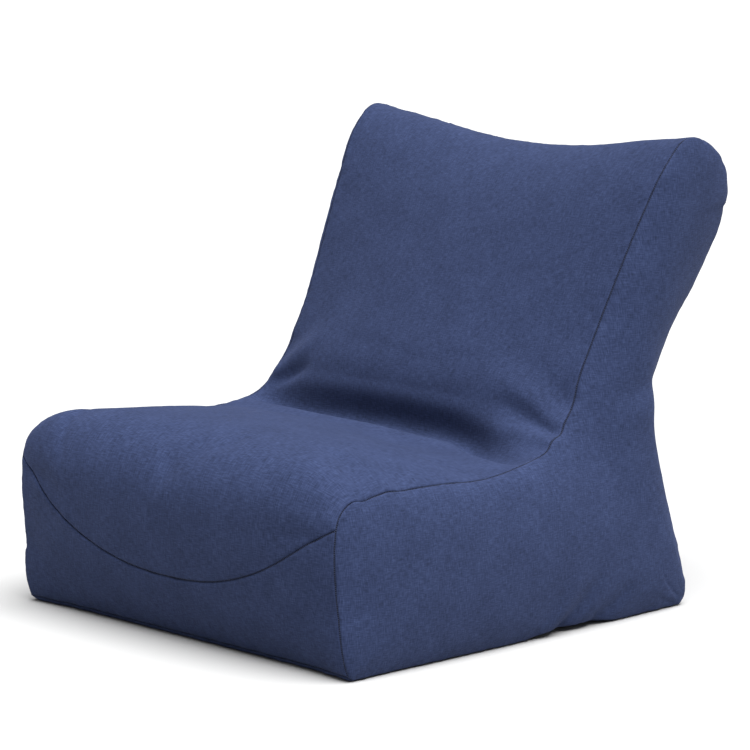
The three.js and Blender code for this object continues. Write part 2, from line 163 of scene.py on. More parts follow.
STATION_NAMES = list(STATION)
COUNT = len(STATION_NAMES)
SEAM_POINTS = np.array([(w, y - FRONT_TO_CENTRE, z) for y, z, w, *_ in STATION.values()])
CROWN_POINTS = np.array([row[3:] for row in STATION.values()], float)


def station(name):
    return STATION_NAMES.index(name)


print(f"outline: {COUNT} stations, {SEAM_POINTS[:, 2].max():.3f} m high at the seam")

# %% [markdown]
# A Catmull-Rom curve runs through every station. The centripetal kind gives each span a length
# in the curve's own measure, which keeps it from looping where stations sit close together at
# the corners of the base.

# %% A smooth curve through points
def catmull_rom(points, place, centripetal):
    place = np.asarray(place, float) % COUNT
    first = np.floor(place).astype(int)
    f = (place - first)[..., None]
    p0, p1, p2, p3 = (points[(first + k) % COUNT] for k in (-1, 0, 1, 2))
    if centripetal:
        d01, d12, d23 = (np.sqrt(np.linalg.norm(b - a, axis=-1, keepdims=True))
                         for a, b in ((p0, p1), (p1, p2), (p2, p3)))
        m1 = ((p1 - p0) / d01 - (p2 - p0) / (d01 + d12) + (p2 - p1) / d12) * d12
        m2 = ((p2 - p1) / d12 - (p3 - p1) / (d12 + d23) + (p3 - p2) / d23) * d12
    else:
        m1, m2 = (p2 - p0) / 2, (p3 - p1) / 2
    return ((2 * f**3 - 3 * f**2 + 1) * p1 + (f**3 - 2 * f**2 + f) * m1
            + (3 * f**2 - 2 * f**3) * p2 + (f**3 - f**2) * m2)


middle_of_seat = catmull_rom(SEAM_POINTS, (station("seat1") + station("seat4")) / 2, True)
print(f"the seat's seam is {middle_of_seat[2]:.3f} m high half way back")

# %% The side seam
A_LITTLE_WAY = 0.01


def seam_point(place):
    point = catmull_rom(SEAM_POINTS, place, True)
    point[..., 2] = np.maximum(point[..., 2], 0)
    return point


def outward(place):
    """The way out of the bag at a place on the outline, in the side view."""
    place = np.asarray(place)
    along = seam_point(place + A_LITTLE_WAY) - seam_point(place - A_LITTLE_WAY)
    normal = np.stack([0 * along[..., 0], -along[..., 2], along[..., 1]], -1)
    return normal / np.linalg.norm(normal, axis=-1, keepdims=True)


def seam_at(place, inset=0.0):
    """The seam itself, or a line that runs inside it, as the liner's seam does."""
    point = seam_point(place) - inset * outward(place)
    point[..., 2] = np.maximum(point[..., 2], inset)
    point[..., 0] -= inset
    return point


# %% [markdown]
# Corners and seams are named places on the outline, counted in stations. Cloth is cut by length,
# so a place can be turned into its length round the outline, and back.

# %% Corners and seams along the outline
FRONT_CORNER = -0.5
REAR_CORNER = station("rear_low") + 0.5
CREASE = station("crease") + 0.3
TOP_SEAM = station("top_rear") - 0.3
TOP_INNER = station("top_front") + 0.3
LOBE_CORNER = station("lobe1") + 0.6
ZIP_LINE = station("rear6") - 0.08

arc_places = np.linspace(FRONT_CORNER, FRONT_CORNER + COUNT, 4001)
arc_steps = np.linalg.norm(np.diff(seam_point(arc_places)[:, 1:], axis=0), axis=1)
arc_lengths = np.concatenate([[0], np.cumsum(arc_steps)])


def arc_of(place):
    return np.interp(place, arc_places, arc_lengths)


def place_of(arc):
    return np.interp(arc, arc_lengths, arc_places)


print(f"once round the outline: {arc_lengths[-1]:.3f} m")

# %% [markdown]
# ## The surface of the full bag
#
# Two rules make the surface. The wrap is the cloth that runs round the bag between the side
# seams: a point on it is a place on the outline and a position across, from -1 at the left seam
# to 1 at the right. A side gusset is a Coons patch, which fills the space between four stretches
# of the seam and is then pushed out by the beads.

# %% The wrap
def wrap_point(place, across, inset=0.0):
    place, across = np.broadcast_arrays(np.asarray(place, float), np.asarray(across, float))
    point = seam_at(place, inset)
    crown, fullness, dip = np.moveaxis(catmull_rom(CROWN_POINTS, place, False), -1, 0)
    point[..., 0] *= across
    point[..., 2] -= dip * (1 - across**2)
    lift = crown * (1 - np.abs(across) ** fullness)
    return point + lift[..., None] * outward(place)


print(f"the seat is {wrap_point(station('seat1'), 0.0)[2]:.3f} m high in the middle of its front")

# %% The rims of a gusset
SPLIT = 0.48


def inner_edge(u):
    return np.interp(u, [0, SPLIT, 1], [station("seat_front"), CREASE, TOP_INNER])


def outer_edge(u):
    return np.interp(u, [0, SPLIT, 1], [FRONT_CORNER + COUNT, REAR_CORNER, LOBE_CORNER])


def front_edge(v):
    return FRONT_CORNER + (station("seat_front") - FRONT_CORNER) * np.asarray(v)


def lobe_edge(v):
    return LOBE_CORNER + (TOP_INNER - LOBE_CORNER) * np.asarray(v)


def stretch(first, last):
    return abs(float(arc_of(last) - arc_of(first)))


print(f"a gusset's rims: front {stretch(FRONT_CORNER, station('seat_front')):.3f} m, "
      f"inner {stretch(station('seat_front'), TOP_INNER):.3f} m, "
      f"lobe {stretch(TOP_INNER, LOBE_CORNER):.3f} m")

# %% The gussets
SIDE_BULGE = 0.029
FRONT_RISE, LOBE_RISE = 0.25, 0.18
RISE_CURVE, MIDDLE_CURVE = 2.2, 0.75


def rise(share):
    return 1 - (1 - np.clip(share, 0, 1)) ** RISE_CURVE


def side_bulge(u, v):
    middle = np.clip(4 * v * (1 - v), 0, 1) ** MIDDLE_CURVE
    return SIDE_BULGE * middle * rise(u / FRONT_RISE) * rise((1 - u) / LOBE_RISE)


def side_point(u, v, side, inset=0.0):
    u, v = np.broadcast_arrays(np.asarray(u, float), np.asarray(v, float))
    a, b = u[..., None], v[..., None]
    corner = {name: seam_at(np.array(place), inset) for name, place in (
        ("front_low", FRONT_CORNER), ("front_high", station("seat_front")),
        ("lobe_low", LOBE_CORNER), ("lobe_high", TOP_INNER))}
    point = ((1 - b) * seam_at(outer_edge(u), inset) + b * seam_at(inner_edge(u), inset)
             + (1 - a) * seam_at(front_edge(v), inset) + a * seam_at(lobe_edge(v), inset)
             - (1 - a) * ((1 - b) * corner["front_low"] + b * corner["front_high"])
             - a * ((1 - b) * corner["lobe_low"] + b * corner["lobe_high"]))
    point[..., 0] = side * (point[..., 0] + side_bulge(u, v))
    return point


print(f"the right gusset reaches {side_point(0.5, 0.5, 1)[0]:.3f} m from the middle of the chair")

# %% [markdown]
# ## Where the cloth folds by itself
#
# Beads settle, so the cloth isn't evenly full. It tucks into a deep crease between the seat and
# the backrest, and soft folds run from the tight inner corners of the side seams. Each fold is a
# line in space that pushes the cloth near it one way, and fades towards its far end. A push
# belongs to the space and not to a panel, so two panels sewn together always move together.

# %% The crease between seat and backrest
CREASE_DEPTH = 0.033
CREASE_SEAT_WIDTH, CREASE_BACK_WIDTH = 0.015, 0.028
CREASE_FORWARD, CREASE_BOW = 0.034, 0.3
CREASE_SWEEP, SWEEP_START = 0.055, 0.3
CREASE_END_POWER = 8
RIGHT_END_FADE, FADE_START = 0.45, 0.5


def smooth_step(low, high, value):
    t = np.clip((value - low) / (high - low), 0, 1)
    return t * t * (3 - 2 * t)


def crease_pull(place, across):
    """How far the crease draws the wrap inwards. It runs forward towards the right seam."""
    line = (arc_of(CREASE) - CREASE_FORWARD * (1 - CREASE_BOW * across**2)
            - CREASE_SWEEP * smooth_step(SWEEP_START, 1, across))
    away = arc_of(place) - line
    width = np.where(away < 0, CREASE_SEAT_WIDTH, CREASE_BACK_WIDTH)
    reach = ((1 - np.abs(across) ** CREASE_END_POWER)
             * (1 - RIGHT_END_FADE * smooth_step(FADE_START, 1, across)))
    return CREASE_DEPTH * reach * np.exp(-(away / width) ** 2)


print(f"crease: {CREASE_DEPTH * 1000:.0f} mm deep")

# %% The folds
FOLDS = [
    # start, end, push, width, fade
    # the foot of the backrest leans forward over the crease
    ((-0.23, 0.060, 0.370), (0.20, 0.050, 0.365), (0, -0.004, 0), 0.070, 0),
    # from the right inner corner over the backrest
    ((0.344, 0.058, 0.293), (0.180, 0.035, 0.325), (0, -0.006, 0.008), 0.018, 0.6),
    ((0.327, 0.070, 0.300), (0.210, 0.065, 0.350), (0, 0.005, -0.004), 0.014, 0.6),
    ((0.325, 0.080, 0.325), (0.190, 0.075, 0.385), (0, -0.007, 0.004), 0.018, 0.7),
    ((0.325, 0.095, 0.360), (0.130, 0.090, 0.470), (0, 0.006, -0.002), 0.026, 0.7),
    # from the left inner corner
    ((-0.316, 0.080, 0.305), (-0.240, 0.070, 0.350), (0, 0.009, -0.006), 0.012, 0.5),
    ((-0.325, 0.080, 0.325), (-0.200, 0.085, 0.440), (0, -0.008, 0.004), 0.016, 0.7),
    ((-0.325, 0.100, 0.370), (-0.200, 0.110, 0.500), (0, 0.007, -0.002), 0.022, 0.7),
    # the full front left corner of the seat, and the pinch at the front right one
    ((-0.352, -0.390, 0.262), (-0.280, -0.380, 0.290), (-0.005, -0.009, 0.018), 0.075, 0.4),
    ((0.352, -0.372, 0.272), (0.290, -0.350, 0.312), (0, 0.002, -0.007), 0.016, 0.6),
    ((0.352, -0.320, 0.276), (0.250, -0.300, 0.318), (0, 0, 0.004), 0.018, 0.6),
    # the seat sinks towards the right end of the crease
    ((0.120, -0.070, 0.300), (0.300, -0.110, 0.290), (0, 0, -0.016), 0.085, 0),
    # across the waist of the gussets
    ((0.355, 0.275, 0.372), (0.372, 0.150, 0.352), (-0.005, 0, 0), 0.020, 0.6),
    ((0.360, 0.275, 0.335), (0.378, 0.160, 0.315), (0.003, 0, 0), 0.026, 0.6),
    ((-0.355, 0.275, 0.372), (-0.372, 0.150, 0.352), (0.005, 0, 0), 0.020, 0.6),
    ((-0.360, 0.275, 0.335), (-0.378, 0.160, 0.315), (-0.003, 0, 0), 0.026, 0.6),
    # the top stands fuller in the middle, and so do the lobe and the lower corners
    ((-0.220, 0.350, 0.715), (0.240, 0.350, 0.715), (0, 0, 0.014), 0.090, 0),
    ((0.350, 0.420, 0.700), (0.365, 0.430, 0.640), (0.004, 0.007, 0.002), 0.090, 0.2),
    ((-0.350, 0.420, 0.700), (-0.365, 0.430, 0.640), (-0.004, 0.007, 0.002), 0.090, 0.2),
    ((-0.368, -0.405, 0.010), (-0.368, -0.425, 0.090), (-0.009, -0.007, 0), 0.060, 0.5),
    ((0.368, -0.405, 0.010), (0.368, -0.425, 0.090), (0.005, -0.008, 0), 0.060, 0.5),
    # low on the gussets, up from the base
    ((0.372, 0.020, 0.004), (0.372, 0.110, 0.004), (0, 0, 0.008), 0.035, 0),
    ((0.374, 0.040, 0.010), (0.392, 0.120, 0.085), (-0.011, 0, 0), 0.013, 0.7),
    ((0.374, 0.010, 0.010), (0.392, 0.080, 0.110), (0.006, 0, 0), 0.018, 0.7),
    ((0.374, 0.120, 0.010), (0.390, 0.190, 0.060), (-0.008, 0, 0), 0.011, 0.7),
    ((-0.374, -0.120, 0.010), (-0.392, -0.040, 0.085), (0.009, 0, 0), 0.013, 0.7),
    ((-0.374, 0.080, 0.010), (-0.390, 0.150, 0.060), (0.007, 0, 0), 0.012, 0.7),
]
print(len(FOLDS), "folds")


def push_folds(points):
    pushed = points.copy()
    for start, end, push, width, fade in FOLDS:
        a, run = np.array(start), np.array(end) - np.array(start)
        along = np.clip(((points - a) @ run) / (run @ run), 0, 1)
        away = np.linalg.norm(points - a - along[..., None] * run, axis=-1)
        strength = (1 - along) ** fade * np.exp(-(away / width) ** 2)
        pushed += strength[..., None] * np.array(push)
    return pushed


# %% The shaped surface
def surface_normals(points, flip):
    down, right = np.gradient(points, axis=0), np.gradient(points, axis=1)
    normal = np.cross(right, down)
    normal /= np.maximum(np.linalg.norm(normal, axis=-1, keepdims=True), 1e-12)
    return -normal if flip else normal


def shaped_wrap(place, across, inset=0.0):
    place, across = np.broadcast_arrays(place, across)
    points = wrap_point(place, across, inset)
    normal = surface_normals(points, False)
    return push_folds(points - normal * crease_pull(place, across)[..., None])


def shaped_side(u, v, side, inset=0.0):
    return push_folds(side_point(u, v, side, inset))


trial = np.linspace(0, COUNT, 200)[:, None], np.linspace(-1, 1, 41)[None]
moved_by = np.linalg.norm(shaped_wrap(*trial) - wrap_point(*trial), axis=-1)
print(f"crease and folds move the wrap by up to {moved_by.max() * 1000:.0f} mm")


# %% [markdown]
# ## Letting the beads push
#
# Real cloth wrinkles because there is a little more of it than the shape needs, and the seams hold
# it back. That is a job for the cloth simulation. The wrap and both gussets become one welded
# mesh. The seams are held firmly, the cloth between them only softly, and every thread may grow
# by a few percent while the beads press from inside. What the simulation gives is read back as
# a small shift for each point of the grid.

# %% The grids of the bag
U_STEPS, V_STEPS, WRAP_COLUMNS = 96, 24, 56
EVEN_SHARE = 0.6
US, VS = np.linspace(0, 1, U_STEPS + 1), np.linspace(0, 1, V_STEPS + 1)
LOOP = np.concatenate([front_edge(VS[:-1]), inner_edge(US[:-1]),
                       lobe_edge(VS[1:])[::-1], outer_edge(US[1:])[::-1]])
ROWS = len(LOOP)
even = np.linspace(-1, 1, WRAP_COLUMNS + 1)
ACROSS = EVEN_SHARE * even + (1 - EVEN_SHARE) * np.sin(even * math.pi / 2)

wrap_grid = shaped_wrap(np.append(LOOP, LOOP[0] + COUNT)[:, None], ACROSS[None])[:-1]
side_grids = {side: shaped_side(US[:, None], VS[None], side) for side in (-1, 1)}
print(f"wrap: {ROWS} rows of {WRAP_COLUMNS + 1} points")

# %% One welded mesh of the whole bag
def loop_row(i, j):
    """The row of the wrap that a point on the rim of a gusset is sewn to."""
    if j == V_STEPS and i < U_STEPS:
        return V_STEPS + i
    if i == U_STEPS:
        return V_STEPS + U_STEPS + (V_STEPS - j)
    if j == 0:
        return (2 * V_STEPS + U_STEPS + (U_STEPS - i)) % ROWS
    return j


def weld_bag():
    # The rim of a gusset takes the wrap's own points, so the two are sewn together.
    vertices = list(wrap_grid.reshape(-1, 3))
    width = WRAP_COLUMNS + 1
    faces = [(r * width + c, r * width + c + 1,
              (r + 1) % ROWS * width + c + 1, (r + 1) % ROWS * width + c)
             for r in range(ROWS) for c in range(WRAP_COLUMNS)]
    numbers = {}
    for side, grid in side_grids.items():
        number = np.zeros((U_STEPS + 1, V_STEPS + 1), int)
        column = 0 if side < 0 else WRAP_COLUMNS
        for i in range(U_STEPS + 1):
            for j in range(V_STEPS + 1):
                if i in (0, U_STEPS) or j in (0, V_STEPS):
                    number[i, j] = loop_row(i, j) * width + column
                else:
                    number[i, j] = len(vertices)
                    vertices.append(grid[i, j])
        numbers[side] = number
        for i in range(U_STEPS):
            for j in range(V_STEPS):
                face = (number[i, j], number[i, j + 1], number[i + 1, j + 1], number[i + 1, j])
                faces.append(face if side < 0 else face[::-1])
    return np.array(vertices), faces, numbers


bag_points, bag_faces, side_numbers = weld_bag()
print(f"welded bag: {len(bag_points)} points, {len(bag_faces)} faces")

# %% A mesh from points and faces
def mesh_object(name, points, faces, smooth=True):
    mesh = bpy.data.meshes.new(name)
    mesh.from_pydata([tuple(p) for p in points], [], [tuple(int(k) for k in f) for f in faces])
    mesh.polygons.foreach_set("use_smooth", [smooth] * len(mesh.polygons))
    mesh.update()
    thing = bpy.data.objects.new(name, mesh)
    bpy.context.collection.objects.link(thing)
    return thing


bag = mesh_object("pressed_bag", bag_points, bag_faces)
print(bag.name, len(bag.data.polygons), "faces")

# %% [markdown]
# Two vertex groups steer the simulation. One holds the seams, the base and the cloth beside the
# zip firmly, and the rest softly. The other says how much of its growth each point may take,
# which is little in the crease, where the cloth is tucked away.

# %% Which cloth is held, and which may grow
CLOTH_HOLD = 0.06
TUCKED = 0.2
BASE_BAND = 0.004
ZIP_REACH, ZIP_BAND, ZIP_BEHIND = 0.30, 0.14, 0.2
CREASE_BEHIND, CREASE_BAND = 0.11, (0.22, 0.40)


def mark_cloth():
    hold = bag.vertex_groups.new(name="hold")
    grow = bag.vertex_groups.new(name="grow")
    on_seam = np.zeros(len(bag_points), bool)
    wrap_ids = np.arange(ROWS * (WRAP_COLUMNS + 1)).reshape(ROWS, -1)
    on_seam[wrap_ids[:, [0, -1]].ravel()] = True
    x, y, z = bag_points.T
    near_zip = (np.abs(x) < ZIP_REACH) & (z < ZIP_BAND) & (y > ZIP_BEHIND)
    held = on_seam | (z < BASE_BAND) | near_zip
    in_crease = (np.abs(y) < CREASE_BEHIND) & (z > CREASE_BAND[0]) & (z < CREASE_BAND[1])
    for index in range(len(bag_points)):
        slack = TUCKED if in_crease[index] else 1.0
        hold.add([index], 1.0 if held[index] else CLOTH_HOLD / slack, "REPLACE")
        grow.add([index], 0.0 if held[index] else slack, "REPLACE")
    print(f"held firmly: {held.sum()} points, tucked in the crease: {in_crease.sum()}")


mark_cloth()

# %% Press the beads against the cloth
SIMULATED_FRAMES = 22
CLOTH_GROWTH = 0.035
BEAD_PRESSURE = 1.6
MOST_SHIFT = 0.014


def press_beads():
    cloth = bag.modifiers.new("cloth", "CLOTH")
    settings = cloth.settings
    settings.quality = 5
    settings.mass = 0.3
    settings.tension_stiffness = 30
    settings.compression_stiffness = 30
    settings.shear_stiffness = 12
    settings.bending_stiffness = 0.6
    settings.air_damping = 2
    settings.vertex_group_mass = "hold"
    settings.pin_stiffness = 1.0
    settings.vertex_group_shrink = "grow"
    settings.shrink_min = 0.0
    settings.shrink_max = -CLOTH_GROWTH
    settings.use_pressure = True
    settings.uniform_pressure_force = BEAD_PRESSURE
    settings.effector_weights.gravity = 0
    cloth.collision_settings.use_collision = False
    cloth.point_cache.frame_start = 1
    cloth.point_cache.frame_end = SIMULATED_FRAMES
    scene = bpy.context.scene
    for step in range(1, SIMULATED_FRAMES + 1):
        scene.frame_set(step)
    pressed = bag.evaluated_get(bpy.context.evaluated_depsgraph_get()).to_mesh()
    moved = np.empty(len(bag_points) * 3)
    pressed.vertices.foreach_get("co", moved)
    scene.frame_set(1)
    return moved.reshape(-1, 3) - bag_points


shift = press_beads()
bpy.data.objects.remove(bag)
length = np.linalg.norm(shift, axis=1, keepdims=True)
print(f"cloth moved {length.mean() * 1000:.1f} mm on average, {length.max() * 1000:.1f} mm at most")
shift *= np.minimum(1, MOST_SHIFT / np.maximum(length, 1e-9))
wrap_shift = shift[:ROWS * (WRAP_COLUMNS + 1)].reshape(ROWS, WRAP_COLUMNS + 1, 3)
wrap_shift = np.concatenate([wrap_shift, wrap_shift[:1]])
side_shift = {side: shift[number] for side, number in side_numbers.items()}


# %% [markdown]
# The panels need much finer grids than a simulation can carry. A blend of the sixteen nearest
# points reads the shift anywhere between them, so no facets show.

# %% Read the shift anywhere on a grid
def weights(t):
    """How much each of four grid lines counts for a point between the middle two."""
    return np.stack([(-t + 2 * t**2 - t**3) / 2, (2 - 5 * t**2 + 3 * t**3) / 2,
                     (t + 4 * t**2 - 3 * t**3) / 2, (t**3 - t**2) / 2])


def sample(grid, row, column):
    """A smooth value between grid points; row and column count grid steps."""
    row, column = np.broadcast_arrays(row, column)
    r, c = np.floor(row).astype(int), np.floor(column).astype(int)
    wr, wc = weights(row - r), weights(column - c)
    value = np.zeros(row.shape + (3,))
    for i in range(4):
        for j in range(4):
            at_row = np.clip(r + i - 1, 0, grid.shape[0] - 1)
            at_column = np.clip(c + j - 1, 0, grid.shape[1] - 1)
            value += (wr[i] * wc[j])[..., None] * grid[at_row, at_column]
    return value


LOOP_CLOSED = np.append(LOOP, LOOP[0] + COUNT)


def full_wrap(place, across, inset=0.0):
    """The finished surface of the wrap, with its folds and what the beads pushed."""
    place, across = np.broadcast_arrays(place, across)
    row = np.interp(place, LOOP_CLOSED, np.arange(ROWS + 1))
    column = np.interp(across, ACROSS, np.arange(WRAP_COLUMNS + 1))
    return shaped_wrap(place, across, inset) + sample(wrap_shift, row, column)


def full_side(u, v, side, inset=0.0):
    u, v = np.broadcast_arrays(u, v)
    shifted = sample(side_shift[side], u * U_STEPS, v * V_STEPS)
    return shaped_side(u, v, side, inset) + shifted


# %% [markdown]
# ## From one bag to seven panels
#
# Each panel is its own piece, cut where the seams are. A sewn edge isn't sharp: the thread pulls
# both cloths inwards, so they roll over into a narrow groove, with small puckers beside it.
# The grid of a panel is fine near its edges, to hold that roll, and coarser in the middle.

# %% A grid that is fine at its edges
CLOTH_GRID, EDGE_GRID = 0.0058, 0.0009


def graded(size, coarse=CLOTH_GRID, fine=EDGE_GRID, growth=1.4):
    """Shares of size from 0 to 1, close together at both ends."""
    steps = [fine]
    while steps[-1] * growth < coarse and 2 * sum(steps) < 0.8 * size:
        steps.append(steps[-1] * growth)
    middle = size - 2 * sum(steps)
    count = max(1, round(middle / coarse))
    widths = steps + [middle / count] * count + steps[::-1]
    return np.concatenate([[0], np.cumsum(widths)]) / size


print(f"a cut of 0.72 m gets {len(graded(0.72))} grid lines")

# %% [markdown]
# A seam shortens the cloth a little more in one place than in another, which lifts small puckers
# beside it. They are a sum of a few waves in random directions, with a seed for each panel, and
# they fade away from the seam. Far from any seam a much wider ripple stays, for cloth that never
# lies quite even.

# %% Puckers and rolled edges
GROOVE_DEPTH, GROOVE_WIDTH = 0.0030, 0.0052
PUCKER_HEIGHT, PUCKER_REACH = 0.0011, 0.020
PUCKER_SIZE, SMALL_PUCKER_SIZE, SMALL_PUCKER_SHARE = 0.026, 0.011, 0.6
PUCKER_START = 0.004
SLACK_HEIGHT, SLACK_SIZE, SLACK_START = 0.0006, 0.12, 0.05
RIPPLE_WAVES, RIPPLE_GAIN = 7, 1.6


def ripple(points, size, seed):
    """Smooth noise in space, about one bump for each size, from -1 to 1."""
    random = np.random.default_rng(seed)
    value = np.zeros(points.shape[:-1])
    for _ in range(RIPPLE_WAVES):
        direction = random.normal(size=3)
        direction *= 2 * math.pi / (size * np.linalg.norm(direction) * random.uniform(0.7, 1.5))
        value += np.sin(points @ direction + random.uniform(0, 2 * math.pi))
    return value / RIPPLE_WAVES * RIPPLE_GAIN


def roll(distance):
    return GROOVE_DEPTH * np.clip(1 - distance / GROOVE_WIDTH, 0, 1) ** 2


def sew(points, normal, edges, seed):
    """Rolls each edge of a panel inwards. An edge is its distances, its way in and its share."""
    pull = np.zeros_like(points)
    nearest = np.full(points.shape[:-1], 1.0)
    for distance, inwards, share in edges:
        pull += (share * roll(distance))[..., None] * inwards
        nearest = np.minimum(nearest, distance)
    strength = np.linalg.norm(pull, axis=-1, keepdims=True)
    pull *= np.minimum(1, GROOVE_DEPTH / np.maximum(strength, 1e-9))
    pucker = (ripple(points, PUCKER_SIZE, seed)
              + SMALL_PUCKER_SHARE * ripple(points, SMALL_PUCKER_SIZE, seed + 1))
    fade = np.exp(-nearest / PUCKER_REACH) * np.clip(nearest / PUCKER_START, 0, 1)
    slack = (SLACK_HEIGHT * ripple(points, SLACK_SIZE, seed + 2)
             * np.clip(nearest / SLACK_START, 0, 1))
    sewn = points + pull + normal * (PUCKER_HEIGHT * pucker * fade + slack)[..., None]
    return sewn, nearest


print(f"seam groove {GROOVE_DEPTH * 1000:.1f} mm deep, puckers {PUCKER_HEIGHT * 1000:.1f} mm high")

# %% [markdown]
# A grid of points becomes cloth in three steps: faces between its rows and columns, a UV map in
# metres for the weave, and a Solidify modifier that gives the cloth its thickness inwards. Each
# point also keeps its distance from the seam, which the material reads as from_seam.

# %% A piece of cloth from a grid
CLOTH_THICKNESS = 0.0011


def distances(points, axis):
    """How far each point lies from the first and from the last row or column, along the cloth."""
    step = np.linalg.norm(np.diff(points, axis=axis), axis=-1)
    start = np.insert(np.cumsum(step, axis=axis), 0, 0, axis=axis)
    total = np.take(start, [-1], axis=axis)
    return start, total - start


def cloth_grid(name, points, uv, from_seam, flip):
    """Cloth from a grid of points, none of which goes below the floor."""
    points[..., 2] = np.maximum(points[..., 2], 0)
    rows, columns = points.shape[:2]
    number = np.arange(rows * columns).reshape(rows, columns)
    faces = np.stack([number[:-1, :-1], number[:-1, 1:], number[1:, 1:], number[1:, :-1]], -1)
    faces = faces.reshape(-1, 4)
    if flip:
        faces = faces[:, ::-1]
    cloth = mesh_object(name, points.reshape(-1, 3), faces)
    layer = cloth.data.uv_layers.new(name="weave")
    corners = np.empty(len(cloth.data.loops), int)
    cloth.data.loops.foreach_get("vertex_index", corners)
    layer.data.foreach_set("uv", uv.reshape(-1, 2)[corners].ravel())
    shade = cloth.data.attributes.new("from_seam", "FLOAT", "POINT")
    shade.data.foreach_set("value", from_seam.ravel())
    thickness = cloth.modifiers.new("cloth_thickness", "SOLIDIFY")
    thickness.thickness = CLOTH_THICKNESS
    thickness.offset = -1
    return cloth


def grid_area(points):
    """The area of a grid of points, from the two triangles of each of its cells."""
    a, b, c, d = points[:-1, :-1], points[:-1, 1:], points[1:, 1:], points[1:, :-1]
    return (np.linalg.norm(np.cross(b - a, c - a), axis=-1).sum()
            + np.linalg.norm(np.cross(c - a, d - a), axis=-1).sum()) / 2


print(f"the cover cloth is {CLOTH_THICKNESS * 1000:.1f} mm thick")

# %% [markdown]
# A panel of the wrap lies between two seams that run across the bag. Along the zip its edge
# isn't sewn to its neighbour and stays flat. Each panel adds the lines of its seams to one list,
# which the stitches follow later, and notes the area that it's cut from.

# %% A panel of the wrap
STITCH_LIFT = 0.0009
WRAP_WIDTH = 0.72
ZIP_LENGTH, ZIP_OPENING = 0.520, 0.012
ZIP_END, ZIP_CLOSING = -0.001, 0.006
FLAT_AT_ZIP = 0.97
seam_lines = []
cut_areas = {}


def lay_across(run, out):
    """The way a stitch lies: across its seam, on the surface."""
    tangent = np.gradient(run, axis=0)
    lay = np.cross(tangent, out)
    return lay / np.maximum(np.linalg.norm(lay, axis=-1, keepdims=True), 1e-9)


def beside_zip(points):
    """1 along the zip and 0 away from it, where the two rear panels are sewn together."""
    beyond = (np.abs(points[..., 0]) - ZIP_LENGTH / 2 - ZIP_END) / ZIP_CLOSING
    return 1 - smooth_step(0, 1, beyond)


def wrap_panel(name, start_arc, end_arc, seed, coarse=CLOTH_GRID, zip_edge=None):
    """A panel of the wrap between two seams, each given as its arc length across the width."""
    middle = float(end_arc(np.array(0.0)) - start_arc(np.array(0.0)))
    k = graded(middle, coarse)[:, None]
    across = 2 * graded(WRAP_WIDTH, coarse)[None] - 1
    arc = start_arc(across) * (1 - k) + end_arc(across) * k
    place = place_of(arc)
    points = full_wrap(place, across)
    cut_areas[name] = grid_area(wrap_point(place, across))
    normal = surface_normals(points, False)
    from_left, from_right = distances(points, 1)
    from_start, from_end = distances(points, 0)
    side_in = []
    for side in (-1, 1):
        inwards = -outward(place)
        inwards[..., 0] = -side
        side_in.append(inwards / math.sqrt(2))
    share = {edge: 1 - FLAT_AT_ZIP * beside_zip(points) * (zip_edge == edge)
             for edge in ("start", "end")}
    edges = [(from_left, side_in[0], 1), (from_right, side_in[1], 1),
             (from_start, -normal, share["start"]), (from_end, -normal, share["end"])]
    uv = np.stack([across * seam_point(place)[..., 0], arc], -1)
    sewn, from_seam = sew(points, normal, edges, seed)
    if zip_edge != "start":
        run, out = sewn[0], normal[0]
        seam_lines.append((run + STITCH_LIFT * out, lay_across(run, out)))
    return cloth_grid(name, sewn, uv, from_seam, False)


print(f"the zip opens the cloth over {ZIP_LENGTH:.2f} m by {ZIP_OPENING * 1000:.0f} mm")

# %% A gusset
GUSSET_LENGTH, GUSSET_DEPTH = 1.15, 0.40


def side_panel(name, side, seed):
    front = graded(GUSSET_LENGTH)[:, None]
    deep = graded(GUSSET_DEPTH)[None]
    points = full_side(front, deep, side)
    cut_areas[name] = grid_area(side_point(front, deep, side))
    normal = surface_normals(points, side > 0)
    from_front, from_lobe = distances(points, 0)
    from_outer, from_inner = distances(points, 1)
    edges = []
    for distance, place in ((from_front, front_edge(deep + 0 * front)),
                            (from_lobe, lobe_edge(deep + 0 * front)),
                            (from_outer, outer_edge(front + 0 * deep)),
                            (from_inner, inner_edge(front + 0 * deep))):
        inwards = -outward(place)
        inwards[..., 0] = -side
        edges.append((distance, inwards / math.sqrt(2), 1))
    uv = np.stack([points[..., 1], points[..., 2]], -1)
    sewn, from_seam = sew(points, normal, edges, seed)
    for rim in ((slice(None), 0), (slice(None), -1), (0, slice(None)), (-1, slice(None))):
        inwards = sum(roll(distance[rim])[..., None] * way[rim] for distance, way, _ in edges)
        out = -inwards / np.linalg.norm(inwards, axis=-1, keepdims=True)
        seam_lines.append((sewn[rim] + STITCH_LIFT * out, lay_across(sewn[rim], out)))
    return cloth_grid(name, sewn, uv, from_seam, side > 0)


print(f"a gusset has {len(graded(GUSSET_LENGTH))} by {len(graded(GUSSET_DEPTH))} grid lines")

# %% [markdown]
# The front panel and the seat panel meet at a seam that dips in the middle like a smile. The two
# rear panels stop short of each other along the zip, and meet beyond its ends.

# %% The seams across the bag
SMILE_LOW, SMILE_RISE, SMILE_CURVE = 1.6, 1.95, 2.3


def smile_arc(across):
    return arc_of(SMILE_LOW + SMILE_RISE * np.abs(across) ** SMILE_CURVE)


def fixed_arc(place):
    return lambda across: arc_of(place) + 0 * np.asarray(across)


def zip_arc(sign):
    half_width = seam_point(np.array(ZIP_LINE))[0]

    def edge(across):
        opening = ZIP_OPENING / 2 * beside_zip(np.asarray(across)[..., None] * half_width)
        return arc_of(ZIP_LINE) + sign * opening
    return edge


print(f"the smile dips {smile_arc(1.0) - smile_arc(0.0):.3f} m along the cloth")

